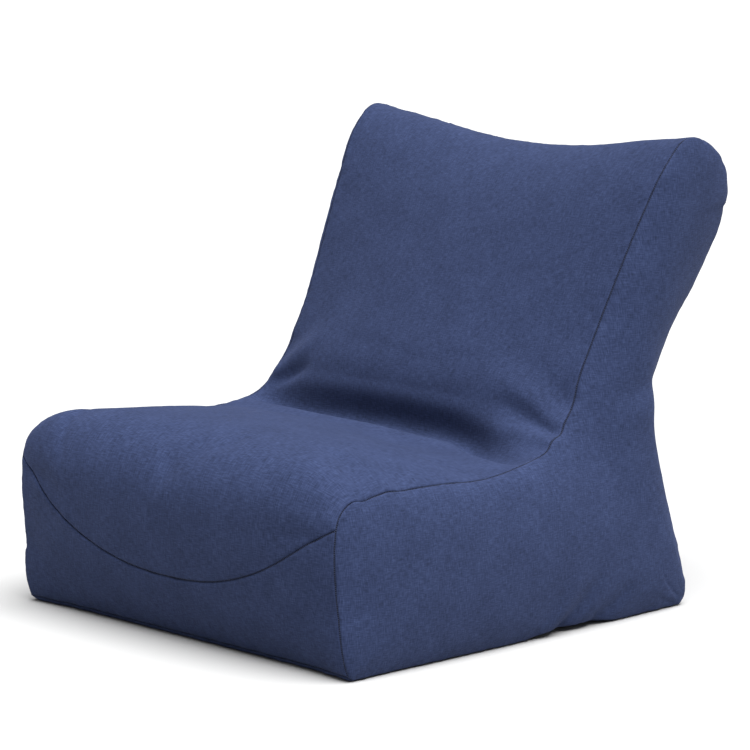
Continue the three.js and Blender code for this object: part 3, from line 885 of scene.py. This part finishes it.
# %% Cut the panels
BASE_GRID = 0.012
panels = {
    "front_panel": wrap_panel("front_panel", fixed_arc(FRONT_CORNER), smile_arc, 11),
    "seat_back_panel": wrap_panel("seat_back_panel", smile_arc, fixed_arc(TOP_SEAM), 21),
    "rear_panel": wrap_panel("rear_panel", fixed_arc(TOP_SEAM), zip_arc(-1), 31, zip_edge="end"),
    "rear_hem_panel": wrap_panel("rear_hem_panel", zip_arc(1), fixed_arc(REAR_CORNER), 41,
                                 zip_edge="start"),
    "base_panel": wrap_panel("base_panel", fixed_arc(REAR_CORNER),
                             fixed_arc(FRONT_CORNER + COUNT), 51, BASE_GRID),
    "side_panel_left": side_panel("side_panel_left", -1, 61),
    "side_panel_right": side_panel("side_panel_right", 1, 71),
}
for name, panel in panels.items():
    panel.name = name + "_cloth"
    print(panel.name, len(panel.data.polygons), "faces")

# %% [markdown]
# ## The woven cloth
#
# The cover is a plain weave of mottled yarn: each thread changes slowly between a few blues, and
# now and then it is thicker, which shows as a short streak along or across the cloth. The weave
# follows the cloth, so it reads the panel's own UV map, which is in metres. One node group makes
# the yarn for the cover, and again, finer, for the liner and the zip tapes.

# %% Small helpers for node trees
def socket(group, name, kind, way, value=None):
    made = group.interface.new_socket(name=name, in_out=way, socket_type=kind)
    if value is not None:
        made.default_value = value
    return made


def math_node(tree, operation, *values):
    node = tree.nodes.new("ShaderNodeMath")
    node.operation = operation
    for place, value in zip(node.inputs, values):
        if isinstance(value, bpy.types.NodeSocket):
            tree.links.new(value, place)
        else:
            place.default_value = value
    return node.outputs[0]


# %% [markdown]
# The group puts out two things that change over the cloth: a shade from dark to light yarn, and
# a height for the bump. Long thin noise along the cloth and across it makes the slubs and the
# threads, a broad noise makes patches that a dye bath leaves, and crossed sine waves make the
# over and under of the weave.

# %% A woven yarn
SLUB_SHADE, THREAD_SHADE, PATCH_SHADE = 0.32, 0.13, 0.10
PATCHES_PER_METRE = 18.0
THREAD_STRETCH = 9.0
WEAVE_HEIGHT, SLUB_HEIGHT = 0.35, 0.5


def woven_yarn_group():
    group = bpy.data.node_groups.new("woven_yarn", "ShaderNodeTree")
    socket(group, "Position", "NodeSocketVector", "INPUT")
    socket(group, "Threads per Metre", "NodeSocketFloat", "INPUT", 900.0)
    socket(group, "Slubs per Metre", "NodeSocketFloat", "INPUT", 420.0)
    socket(group, "Slub Stretch", "NodeSocketFloat", "INPUT", 10.0)
    socket(group, "Shade", "NodeSocketFloat", "OUTPUT")
    socket(group, "Height", "NodeSocketFloat", "OUTPUT")
    tree = group
    given = tree.nodes.new("NodeGroupInput").outputs
    result = tree.nodes.new("NodeGroupOutput").inputs
    split = tree.nodes.new("ShaderNodeSeparateXYZ")
    tree.links.new(given["Position"], split.inputs[0])
    across, along = split.outputs["X"], split.outputs["Y"]

    def streaks(per_metre, stretch, turned, detail):
        long_way = math_node(tree, "DIVIDE", per_metre, stretch)
        first, second = (long_way, per_metre) if turned else (per_metre, long_way)
        join = tree.nodes.new("ShaderNodeCombineXYZ")
        tree.links.new(math_node(tree, "MULTIPLY", across, first), join.inputs["X"])
        tree.links.new(math_node(tree, "MULTIPLY", along, second), join.inputs["Y"])
        noise = tree.nodes.new("ShaderNodeTexNoise")
        noise.noise_dimensions = "2D"
        noise.inputs["Scale"].default_value = 1.0
        noise.inputs["Detail"].default_value = detail
        tree.links.new(join.outputs[0], noise.inputs["Vector"])
        return noise.outputs["Fac"]

    slubs, threads = given["Slubs per Metre"], given["Threads per Metre"]
    stretch = given["Slub Stretch"]
    slub = math_node(tree, "ADD", streaks(slubs, stretch, False, 2.0),
                     streaks(slubs, stretch, True, 2.0))
    yarn = math_node(tree, "ADD", streaks(threads, THREAD_STRETCH, False, 1.0),
                     streaks(threads, THREAD_STRETCH, True, 1.0))
    patches = streaks(PATCHES_PER_METRE, 1.0, False, 2.0)
    shade = math_node(tree, "ADD", math_node(tree, "MULTIPLY", slub, SLUB_SHADE),
                      math_node(tree, "MULTIPLY", yarn, THREAD_SHADE))
    shade = math_node(tree, "ADD", shade, math_node(tree, "MULTIPLY", patches, PATCH_SHADE))
    tree.links.new(shade, result["Shade"])

    turn = math_node(tree, "MULTIPLY", threads, math.pi)
    over = math_node(tree, "SINE", math_node(tree, "MULTIPLY", across, turn))
    under = math_node(tree, "SINE", math_node(tree, "MULTIPLY", along, turn))
    weave = math_node(tree, "MULTIPLY", over, under)
    height = math_node(tree, "ADD", math_node(tree, "MULTIPLY", weave, WEAVE_HEIGHT),
                       math_node(tree, "MULTIPLY", slub, SLUB_HEIGHT))
    tree.links.new(height, result["Height"])
    return group


woven_yarn = woven_yarn_group()
print("yarn group:", len(woven_yarn.nodes), "nodes")

# %% [markdown]
# The Principled BSDF stays in each material. It takes its colour from a ramp over the yarn's
# shade, and along a seam the colour is darkened: painted shade for the groove where the cloth
# turns in. A little bluish sheen stands for the fine fibres that stand off the yarn.

# %% From a shade to a shader
# SEAM_SHADE is painted shade: the share of its colour that the cloth keeps right at a seam.
SEAM_SHADE, SEAM_SHADE_REACH = 0.22, 0.0024


def colour_ramp(tree, value, stops):
    ramp = tree.nodes.new("ShaderNodeValToRGB")
    while len(ramp.color_ramp.elements) < len(stops):
        ramp.color_ramp.elements.new(0.5)
    for element, (place, colour) in zip(ramp.color_ramp.elements, stops):
        element.position = place
        element.color = (*colour, 1)
    tree.links.new(value, ramp.inputs["Fac"])
    return ramp.outputs["Color"]


def bump(tree, height, shader, distance, strength=1.0):
    node = tree.nodes.new("ShaderNodeBump")
    node.inputs["Distance"].default_value = distance
    node.inputs["Strength"].default_value = strength
    tree.links.new(height, node.inputs["Height"])
    tree.links.new(node.outputs["Normal"], shader.inputs["Normal"])


def value_range(tree, value, low, high):
    node = tree.nodes.new("ShaderNodeMapRange")
    node.inputs["To Min"].default_value = low
    node.inputs["To Max"].default_value = high
    tree.links.new(value, node.inputs["Value"])
    return node.outputs["Result"]


def painted_seam_shade(tree, colour):
    """Painted shade: darkens the colour along a seam, for the groove where the cloth turns in."""
    distance = tree.nodes.new("ShaderNodeAttribute")
    distance.attribute_name = "from_seam"
    share = tree.nodes.new("ShaderNodeMapRange")
    share.interpolation_type = "SMOOTHSTEP"
    share.inputs["From Max"].default_value = SEAM_SHADE_REACH
    share.inputs["To Min"].default_value = SEAM_SHADE
    share.inputs["To Max"].default_value = 1.0
    tree.links.new(distance.outputs["Fac"], share.inputs["Value"])
    darker = tree.nodes.new("ShaderNodeVectorMath")
    darker.operation = "SCALE"
    tree.links.new(colour, darker.inputs["Vector"])
    tree.links.new(share.outputs["Result"], darker.inputs["Scale"])
    return darker.outputs["Vector"]


print(f"a seam's edge keeps {SEAM_SHADE:.0%} of its colour")

# %% Woven materials
SHADE_STOPS = (0.36, 0.5, 0.64)
SHEEN_TINT = (0.30, 0.38, 0.80, 1)


def woven_material(name, shades, threads, slubs, sheen, bump_height, from_uv=True):
    material = bpy.data.materials.new(name)
    material.use_nodes = True
    tree = material.node_tree
    shader = tree.nodes["Principled BSDF"]
    if from_uv:
        place = tree.nodes.new("ShaderNodeUVMap")
        place.uv_map = "weave"
        position = place.outputs["UV"]
    else:
        position = tree.nodes.new("ShaderNodeTexCoord").outputs["Object"]
    yarn = tree.nodes.new("ShaderNodeGroup")
    yarn.node_tree = woven_yarn
    yarn.inputs["Threads per Metre"].default_value = threads
    yarn.inputs["Slubs per Metre"].default_value = slubs
    tree.links.new(position, yarn.inputs["Position"])
    colour = colour_ramp(tree, yarn.outputs["Shade"], list(zip(SHADE_STOPS, shades)))
    # The panels get painted shade along their seams, which darkens the colour there.
    if from_uv:
        colour = painted_seam_shade(tree, colour)
    tree.links.new(colour, shader.inputs["Base Color"])
    roughness = value_range(tree, yarn.outputs["Shade"], 0.98, 0.80)
    tree.links.new(roughness, shader.inputs["Roughness"])
    shader.inputs["Sheen Weight"].default_value = sheen
    shader.inputs["Sheen Roughness"].default_value = 0.45
    shader.inputs["Sheen Tint"].default_value = SHEEN_TINT
    shader.inputs["Specular IOR Level"].default_value = 0.2
    bump(tree, yarn.outputs["Height"], shader, bump_height)
    return material


NAVY_SHADES = (0.0100, 0.0165, 0.0440), (0.0185, 0.0290, 0.0760), (0.0310, 0.0462, 0.1110)
WHITE_SHADES = (0.62, 0.62, 0.60), (0.70, 0.70, 0.68), (0.78, 0.78, 0.77)
TAPE_SHADES = (0.008, 0.012, 0.030), (0.014, 0.020, 0.046), (0.024, 0.033, 0.070)
navy_weave = woven_material("navy_mottled_weave", NAVY_SHADES, threads=900, slubs=760,
                            sheen=0.06, bump_height=0.00030)
liner_weave = woven_material("white_liner_cloth", WHITE_SHADES, threads=1500, slubs=600,
                             sheen=0.05, bump_height=0.0001, from_uv=False)
tape_weave = woven_material("navy_zip_tape", TAPE_SHADES, threads=1600, slubs=700,
                            sheen=0.10, bump_height=0.00015, from_uv=False)
print("woven materials:", navy_weave.name, liner_weave.name, tape_weave.name)

# %% Dress the panels
for name, panel in panels.items():
    panel.data.materials.append(navy_weave)
    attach(panel, "root")
    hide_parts(name)
print(len(panels), "panels take the place of the packed ones")

# %% [markdown]
# ## Thread, teeth and metal
#
# Thread is a twisted polyester, a touch lighter than the cloth. The zip's coil is a nylon
# filament, and its slider and pull are painted metal, a little rubbed along the edges. These are
# small, so their patterns read the object's own coordinates.

# %% A plain finish with a fine grain
def fine_noise(tree, per_metre, detail=2.0, stretch=(1, 1, 1)):
    place = tree.nodes.new("ShaderNodeTexCoord")
    mapping = tree.nodes.new("ShaderNodeMapping")
    mapping.inputs["Scale"].default_value = [per_metre * part for part in stretch]
    noise = tree.nodes.new("ShaderNodeTexNoise")
    noise.inputs["Scale"].default_value = 1.0
    noise.inputs["Detail"].default_value = detail
    tree.links.new(place.outputs["Object"], mapping.inputs["Vector"])
    tree.links.new(mapping.outputs["Vector"], noise.inputs["Vector"])
    return noise.outputs["Fac"]


def plain_material(name, dark, light, per_metre, roughness, metallic=0.0, bump_height=0.00005,
                   stretch=(1, 1, 1)):
    material = bpy.data.materials.new(name)
    material.use_nodes = True
    tree = material.node_tree
    shader = tree.nodes["Principled BSDF"]
    noise = fine_noise(tree, per_metre, 3.0, stretch)
    tree.links.new(colour_ramp(tree, noise, ((0.35, dark), (0.65, light))),
                   shader.inputs["Base Color"])
    tree.links.new(value_range(tree, noise, *roughness), shader.inputs["Roughness"])
    shader.inputs["Metallic"].default_value = metallic
    bump(tree, noise, shader, bump_height)
    return material


# %% Thread, coil, metal, beads and label
navy_thread = plain_material("navy_sewing_thread", (0.020, 0.028, 0.070), (0.045, 0.060, 0.130),
                             2600, (0.7, 0.5), stretch=(1, 0.3, 0.3))
navy_coil = plain_material("navy_nylon_coil", (0.010, 0.014, 0.034), (0.020, 0.028, 0.060),
                           900, (0.50, 0.32))
painted_slider = plain_material("painted_zip_metal", (0.012, 0.017, 0.040), (0.022, 0.030, 0.065),
                                400, (0.42, 0.28), 0.35, 0.00002)
white_beads = plain_material("polystyrene_beads", (0.70, 0.70, 0.70), (0.86, 0.86, 0.86),
                             260, (0.75, 0.55), bump_height=0.002)
label_satin = plain_material("white_label_satin", (0.66, 0.66, 0.64), (0.80, 0.80, 0.78),
                             1400, (0.55, 0.40), stretch=(0.3, 1, 1))
print("small finishes:", navy_thread.name, navy_coil.name, painted_slider.name,
      white_beads.name, label_satin.name)

# %% [markdown]
# ## Inside the cover
#
# Under the cover is a liner of thin white cloth with its own zip, a baffle between the seat and
# the backrest, and the two bead fills. They follow the cover wherever it tucks in or swells: a
# copy of each is moved by what the cover near it moves.

# %% How the cover moved
from mathutils.bvhtree import BVHTree
from mathutils.kdtree import KDTree
import bmesh

probe_places = np.linspace(FRONT_CORNER, FRONT_CORNER + COUNT, 361)[:, None]
probe_across = np.linspace(-1, 1, 61)[None]
probe_sides = (np.linspace(0, 1, 41)[:, None], np.linspace(0, 1, 13)[None])
plain = [wrap_point(probe_places, probe_across)]
moved = [full_wrap(probe_places, probe_across)]
for side in (-1, 1):
    plain.append(side_point(*probe_sides, side))
    moved.append(full_side(*probe_sides, side))
plain = np.concatenate([grid.reshape(-1, 3) for grid in plain])
moved = np.concatenate([grid.reshape(-1, 3) for grid in moved])
nearest_cover = KDTree(len(plain))
for index, point in enumerate(plain):
    nearest_cover.insert(point, index)
nearest_cover.balance()
print(f"{len(plain)} probes, the furthest moved {np.abs(moved - plain).max() * 1000:.0f} mm")

# %% Copies that follow the cover
FOLLOW_REACH = 0.055
NEIGHBOURS = 4
CREASE_NEAR = ((-0.40, -0.14, 0.20), (0.40, 0.16, 0.42))
CREASE_EDGE = 0.009
CREASE_CUTS = 5


def merged_copy(node, name):
    """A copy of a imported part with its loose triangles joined, ready to be shaped."""
    mesh = bpy.data.objects[node].data.copy()
    mesh.name = name
    work = bmesh.new()
    work.from_mesh(mesh)
    bmesh.ops.remove_doubles(work, verts=work.verts, dist=1e-6)
    work.to_mesh(mesh)
    work.free()
    mesh.materials.clear()
    copy = bpy.data.objects.new(name, mesh)
    bpy.context.collection.objects.link(copy)
    return copy


def finer_at_crease(thing):
    """Splits the long edges near the crease, so the piece can bend as sharply as the cover."""
    low, high = (Vector(corner) for corner in CREASE_NEAR)
    work = bmesh.new()
    work.from_mesh(thing.data)
    for _ in range(CREASE_CUTS):
        long_edges = []
        for edge in work.edges:
            middle = (edge.verts[0].co + edge.verts[1].co) / 2
            inside = all(low[k] < middle[k] < high[k] for k in range(3))
            if inside and edge.calc_length() > CREASE_EDGE:
                long_edges.append(edge)
        bmesh.ops.subdivide_edges(work, edges=long_edges, cuts=1)
        bmesh.ops.triangulate(work, faces=[f for f in work.faces if len(f.verts) > 3])
    work.to_mesh(thing.data)
    work.free()


def follow_cover(thing):
    """Moves each point as the nearest probes on the cover moved, less the deeper it lies."""
    for vertex in thing.data.vertices:
        near = nearest_cover.find_n(vertex.co, NEIGHBOURS)
        weight = np.array([1 / (distance + 1e-4) for _, _, distance in near])
        step = sum(w * (moved[index] - plain[index])
                   for w, (_, index, _) in zip(weight, near)) / weight.sum()
        vertex.co += Vector(step * math.exp(-(near[0][2] / FOLLOW_REACH) ** 2))
    thing.data.update()


def inner_piece(node, name, material, smooth):
    piece = merged_copy(node, name)
    finer_at_crease(piece)
    follow_cover(piece)
    piece.data.materials.append(material)
    piece.data.polygons.foreach_set("use_smooth", [smooth] * len(piece.data.polygons))
    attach(piece, "root")
    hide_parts(node)
    return piece


# %% Liner, baffle, bead fills and label
liner = {node: inner_piece(node, name, liner_weave, False) for node, name in (
    ("liner_wrap_panel", "liner_wrap_cloth"), ("liner_side_left", "liner_left_cloth"),
    ("liner_side_right", "liner_right_cloth"), ("chamber_baffle", "baffle_cloth"))}
fills = {node: inner_piece(node, name, white_beads, True) for node, name in (
    ("seat_bead_fill", "seat_beads"), ("back_bead_fill", "back_beads"))}
label = inner_piece("care_label", "care_label_satin", label_satin, False)
print("inner pieces:", ", ".join([p.name for p in (*liner.values(), *fills.values(), label)]))

# %% [markdown]
# ## Stitches and zip teeth
#
# Stitches and teeth are the same small shape repeated along a line, which is what Geometry Nodes
# do well. The line is a chain of points that also know which way a stitch lies. The tree walks
# the line in even steps and sets one small rounded piece down at each.

# %% A row of small pieces
BALL_SEGMENTS, BALL_RINGS = 6, 5


def row_of_pieces_tree():
    tree = bpy.data.node_groups.new("row_of_small_pieces", "GeometryNodeTree")
    socket(tree, "Line", "NodeSocketGeometry", "INPUT")
    socket(tree, "Spacing", "NodeSocketFloat", "INPUT", 0.003)
    socket(tree, "Piece Length", "NodeSocketFloat", "INPUT", 0.002)
    socket(tree, "Piece Width", "NodeSocketFloat", "INPUT", 0.0005)
    socket(tree, "Piece Height", "NodeSocketFloat", "INPUT", 0.0005)
    socket(tree, "Finish", "NodeSocketMaterial", "INPUT")
    socket(tree, "Pieces", "NodeSocketGeometry", "OUTPUT")
    nodes, links = tree.nodes, tree.links
    given = nodes.new("NodeGroupInput").outputs
    result = nodes.new("NodeGroupOutput").inputs
    to_curve = nodes.new("GeometryNodeMeshToCurve")
    links.new(given["Line"], to_curve.inputs["Mesh"])
    steps = nodes.new("GeometryNodeResampleCurve")
    steps.mode = "LENGTH"
    links.new(to_curve.outputs["Curve"], steps.inputs["Curve"])
    links.new(given["Spacing"], steps.inputs["Length"])
    ball = nodes.new("GeometryNodeMeshUVSphere")
    ball.inputs["Segments"].default_value = BALL_SEGMENTS
    ball.inputs["Rings"].default_value = BALL_RINGS
    ball.inputs["Radius"].default_value = 0.5
    size = nodes.new("ShaderNodeCombineXYZ")
    for name, axis in (("Piece Length", "X"), ("Piece Width", "Y"), ("Piece Height", "Z")):
        links.new(given[name], size.inputs[axis])
    directions = []
    for name in ("lay", "out"):
        node = nodes.new("GeometryNodeInputNamedAttribute")
        node.data_type = "FLOAT_VECTOR"
        node.inputs["Name"].default_value = name
        directions.append(node.outputs["Attribute"])
    lie = nodes.new("FunctionNodeAlignRotationToVector")
    lie.axis = "X"
    links.new(directions[0], lie.inputs["Vector"])
    stand = nodes.new("FunctionNodeAlignRotationToVector")
    stand.axis = "Z"
    stand.pivot_axis = "X"
    links.new(lie.outputs["Rotation"], stand.inputs["Rotation"])
    links.new(directions[1], stand.inputs["Vector"])
    put = nodes.new("GeometryNodeInstanceOnPoints")
    links.new(steps.outputs["Curve"], put.inputs["Points"])
    links.new(ball.outputs["Mesh"], put.inputs["Instance"])
    links.new(stand.outputs["Rotation"], put.inputs["Rotation"])
    links.new(size.outputs[0], put.inputs["Scale"])
    real = nodes.new("GeometryNodeRealizeInstances")
    links.new(put.outputs["Instances"], real.inputs["Geometry"])
    finish = nodes.new("GeometryNodeSetMaterial")
    links.new(real.outputs["Geometry"], finish.inputs["Geometry"])
    links.new(given["Finish"], finish.inputs["Material"])
    links.new(finish.outputs["Geometry"], result["Pieces"])
    return tree


row_of_pieces = row_of_pieces_tree()
print("row tree:", len(row_of_pieces.nodes), "nodes")

# %% Rows along lines
def make_rows(name, lines, values, body):
    """Small pieces along lines. A line is its points, the way a piece lies, and the way out."""
    points, edges, lay, out = [], [], [], []
    for run, way, normal in lines:
        first = len(points)
        points += [tuple(p) for p in run]
        edges += [(first + k, first + k + 1) for k in range(len(run) - 1)]
        lay += list(np.broadcast_to(way, run.shape).reshape(-1))
        out += list(np.broadcast_to(normal, run.shape).reshape(-1))
    mesh = bpy.data.meshes.new(name + "_line")
    mesh.from_pydata(points, edges, [])
    for direction, vectors in (("lay", lay), ("out", out)):
        layer = mesh.attributes.new(direction, "FLOAT_VECTOR", "POINT")
        layer.data.foreach_set("vector", vectors)
    guide = bpy.data.objects.new(name + "_line", mesh)
    bpy.context.collection.objects.link(guide)
    rows = guide.modifiers.new("rows", "NODES")
    rows.node_group = row_of_pieces
    for item in row_of_pieces.interface.items_tree:
        if item.item_type == "SOCKET" and item.in_out == "INPUT" and item.name in values:
            rows[item.identifier] = values[item.name]
    made = bpy.data.meshes.new_from_object(
        guide.evaluated_get(bpy.context.evaluated_depsgraph_get()))
    made.polygons.foreach_set("use_smooth", [True] * len(made.polygons))
    made.name = name
    pieces = bpy.data.objects.new(name, made)
    bpy.context.collection.objects.link(pieces)
    bpy.data.objects.remove(guide)
    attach(pieces, body)
    print(name, len(made.polygons), "faces")
    return pieces


# %% [markdown]
# Every seam is a lockstitch, and where the seam opens a little its thread shows as a ladder at
# the bottom of the groove. Along the zip the cover is folded back and topstitched, so two rows
# of longer stitches lie on the surface there.

# %% Seam thread
LADDER = {"Spacing": 0.0032, "Piece Length": 0.0026, "Piece Width": 0.0006,
          "Piece Height": 0.0005, "Finish": navy_thread}
ladder_lines = []
for run, lay in seam_lines:
    tangent = np.gradient(run, axis=0)
    out = np.cross(lay, tangent)
    out /= np.maximum(np.linalg.norm(out, axis=-1, keepdims=True), 1e-9)
    ladder_lines.append((run, lay, out))
make_rows("seam_thread", ladder_lines, LADDER, "root")

# %% Topstitching along the zip
TOPSTITCH = {"Spacing": 0.0036, "Piece Length": 0.0029, "Piece Width": 0.0007,
             "Piece Height": 0.0005, "Finish": navy_thread}
TOPSTITCH_FROM_EDGE = (0.0022, 0.0085)
STITCH_REACH = ZIP_LENGTH / 2 + 0.006
STITCH_STEP, STITCH_ABOVE = 0.004, 0.0002
zip_out = outward(np.array(ZIP_LINE))
topstitch_lines = []
for name, sign in (("rear_panel", -1), ("rear_hem_panel", 1)):
    cloth = panels[name]
    skin = BVHTree.FromPolygons([v.co for v in cloth.data.vertices],
                                [tuple(f.vertices) for f in cloth.data.polygons])
    for distance in TOPSTITCH_FROM_EDGE:
        xs = np.arange(-STITCH_REACH, STITCH_REACH, STITCH_STEP)
        arc = arc_of(ZIP_LINE) + sign * (ZIP_OPENING / 2 + distance)
        line = np.array([(x, *seam_point(place_of(arc))[1:]) for x in xs])
        hits = [skin.find_nearest(Vector(p)) for p in line]
        out = np.array([tuple(h[1]) for h in hits])
        out *= np.sign(out @ zip_out)[:, None]
        run = np.array([tuple(h[0]) for h in hits]) + STITCH_ABOVE * out
        topstitch_lines.append((run, np.array((1.0, 0, 0)), out))
make_rows("zip_topstitch", topstitch_lines, TOPSTITCH, "root")

# %% [markdown]
# ## The zips
#
# A coil zip is two rows of nylon loops that hook into each other, one on each tape. The packed
# model holds each closed coil as one bar, which keeps its size. Here the bar gives way to the
# loops, in two rows half a step apart.

# %% Zip coils
COIL_PITCH = 0.0013
COIL_LOOP = {"Spacing": COIL_PITCH, "Piece Length": 0.0034, "Piece Width": 0.0011,
             "Piece Height": 0.0022, "Finish": navy_coil}
ROW_SPREAD, LOOP_LEAN = 0.36, 0.18


def zip_out_at(centre):
    """The way out of the bag at the place on the rear that is nearest to a zip."""
    places = np.linspace(station("rear5"), REAR_CORNER, 200)
    nearest = np.argmin(np.linalg.norm(seam_point(places)[:, 1:] - centre[1:], axis=1))
    return outward(places[nearest])


def zip_teeth(node, name, body):
    corners = np.array([bpy.data.objects[node].matrix_world @ v.co
                        for v in bpy.data.objects[node].data.vertices])
    centre = (corners.min(axis=0) + corners.max(axis=0)) / 2
    reach = (corners[:, 0].max() - corners[:, 0].min()) / 2
    spread = corners - centre
    out = zip_out_at(centre)
    down = np.array([0, out[2], -out[1]])
    half_width = np.abs(spread @ down).max()
    lines = []
    for sign in (-1, 1):
        start = -reach + COIL_PITCH * (0.5 if sign < 0 else 1.0)
        xs = np.arange(start, reach - COIL_PITCH / 2, COIL_PITCH)
        run = centre + np.outer(xs, (1, 0, 0)) + sign * ROW_SPREAD * half_width * down
        lines.append((run, down + np.array([LOOP_LEAN * sign, 0, 0]), out))
    teeth = make_rows(name, lines, COIL_LOOP, body)
    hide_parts(node)
    return teeth


zip_teeth("cover_zip_coil", "cover_zip_teeth", "root")
zip_teeth("liner_zip_coil", "liner_zip_teeth", "root")

# %% [markdown]
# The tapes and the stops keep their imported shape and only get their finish. The sliders and the
# pull are die-cast, so they are copies with small rounded edges, and each rides its own body.

# %% Finish the tapes and stops
PACKED_FINISHES = {
    "cover_zip_tape_upper": tape_weave, "cover_zip_tape_lower": tape_weave,
    "liner_zip_tape_upper": liner_weave, "liner_zip_tape_lower": liner_weave,
    "cover_zip_stop_closed": painted_slider, "cover_zip_stop_open": painted_slider,
    "liner_zip_stop_closed": painted_slider, "liner_zip_stop_open": painted_slider,
}
for node, finish in PACKED_FINISHES.items():
    mesh = bpy.data.objects[node].data
    mesh.materials.clear()
    mesh.materials.append(finish)
print(len(PACKED_FINISHES), "packed parts finished")

# %% Sliders and pull
EDGE_ROUND, EDGE_ANGLE = 0.0003, math.radians(40)


def metal_piece(node, name):
    piece = merged_copy(node, name)
    piece.data.materials.append(painted_slider)
    edges = piece.modifiers.new("rubbed_edges", "BEVEL")
    edges.width = EDGE_ROUND
    edges.segments = 2
    edges.limit_method = "ANGLE"
    edges.angle_limit = EDGE_ANGLE
    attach(piece, node)
    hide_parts(node)
    return piece


for node, slot in (("cover_zip_slider", "zip_slider"), ("cover_zip_pull", "zip_slider"),
                   ("liner_zip_slider", "liner_slider")):
    print(metal_piece(node, node + "_metal").name)

# %% [markdown]
# ## What each soft piece is
#
# Each panel is a flat cut of cloth, pulled over the liner by the beads. Its flat size is the
# rectangle that it's cut from, which is its widest width and longest length on the shape before
# the cloth swelled and folded, and its area is measured on that shape too.

# %% How cloth is cut
GUSSET_CUT = (0.900, 0.760)
BAFFLE_CUT = (0.725, 0.230)
LINER_IN = 0.0085
STRIPS = {
    "front_panel": (FRONT_CORNER, SMILE_LOW + SMILE_RISE),
    "seat_back_panel": (SMILE_LOW, TOP_SEAM),
    "rear_panel": (TOP_SEAM, ZIP_LINE),
    "rear_hem_panel": (ZIP_LINE, REAR_CORNER),
    "base_panel": (REAR_CORNER, FRONT_CORNER + COUNT),
}


def surface_area(thing):
    work = bmesh.new()
    work.from_mesh(thing.data)
    area = sum(face.calc_area() for face in work.faces)
    work.free()
    return area


def packed_area(node):
    """Half the skin of a packed cloth, which has two faces and no folds yet."""
    return surface_area(bpy.data.objects[node]) / 2


def strip_size(first, last, inset=0.0):
    """The rectangle that a strip of the wrap is cut from: its widest width, its longest length."""
    places = np.linspace(first, last, 400)[:, None]
    points = wrap_point(places, np.linspace(-1, 1, 61)[None], inset)
    widths = np.linalg.norm(np.diff(points, axis=1), axis=-1).sum(axis=1)
    lengths = np.linalg.norm(np.diff(points, axis=0), axis=-1).sum(axis=0)
    return round(float(widths.max()), 3), round(float(lengths.max()), 3)


LINER_CUT = strip_size(FRONT_CORNER, FRONT_CORNER + COUNT, LINER_IN)
print("the liner's wrap is cut from", LINER_CUT, "m")

# %% The cover's sheets
for name, panel in panels.items():
    if name in STRIPS:
        flat = strip_size(*STRIPS[name])
    else:
        flat = GUSSET_CUT
    area = round(float(cut_areas[name]), 4)
    print(f"{panel.name}: cut {flat[0]:.3f} by {flat[1]:.3f} m, {area:.4f} square metres")

# %% The liner's sheets, the label and the fills
for node, piece in liner.items():
    flat = {"liner_wrap_panel": LINER_CUT, "chamber_baffle": BAFFLE_CUT}.get(node, GUSSET_CUT)
    area = round(packed_area(node), 4)
    print(f"{piece.name}: cut {flat[0]:.3f} by {flat[1]:.3f} m, {area:.4f} square metres")
print(len(liner) + 1, "more sheets and", len(fills), "fills")
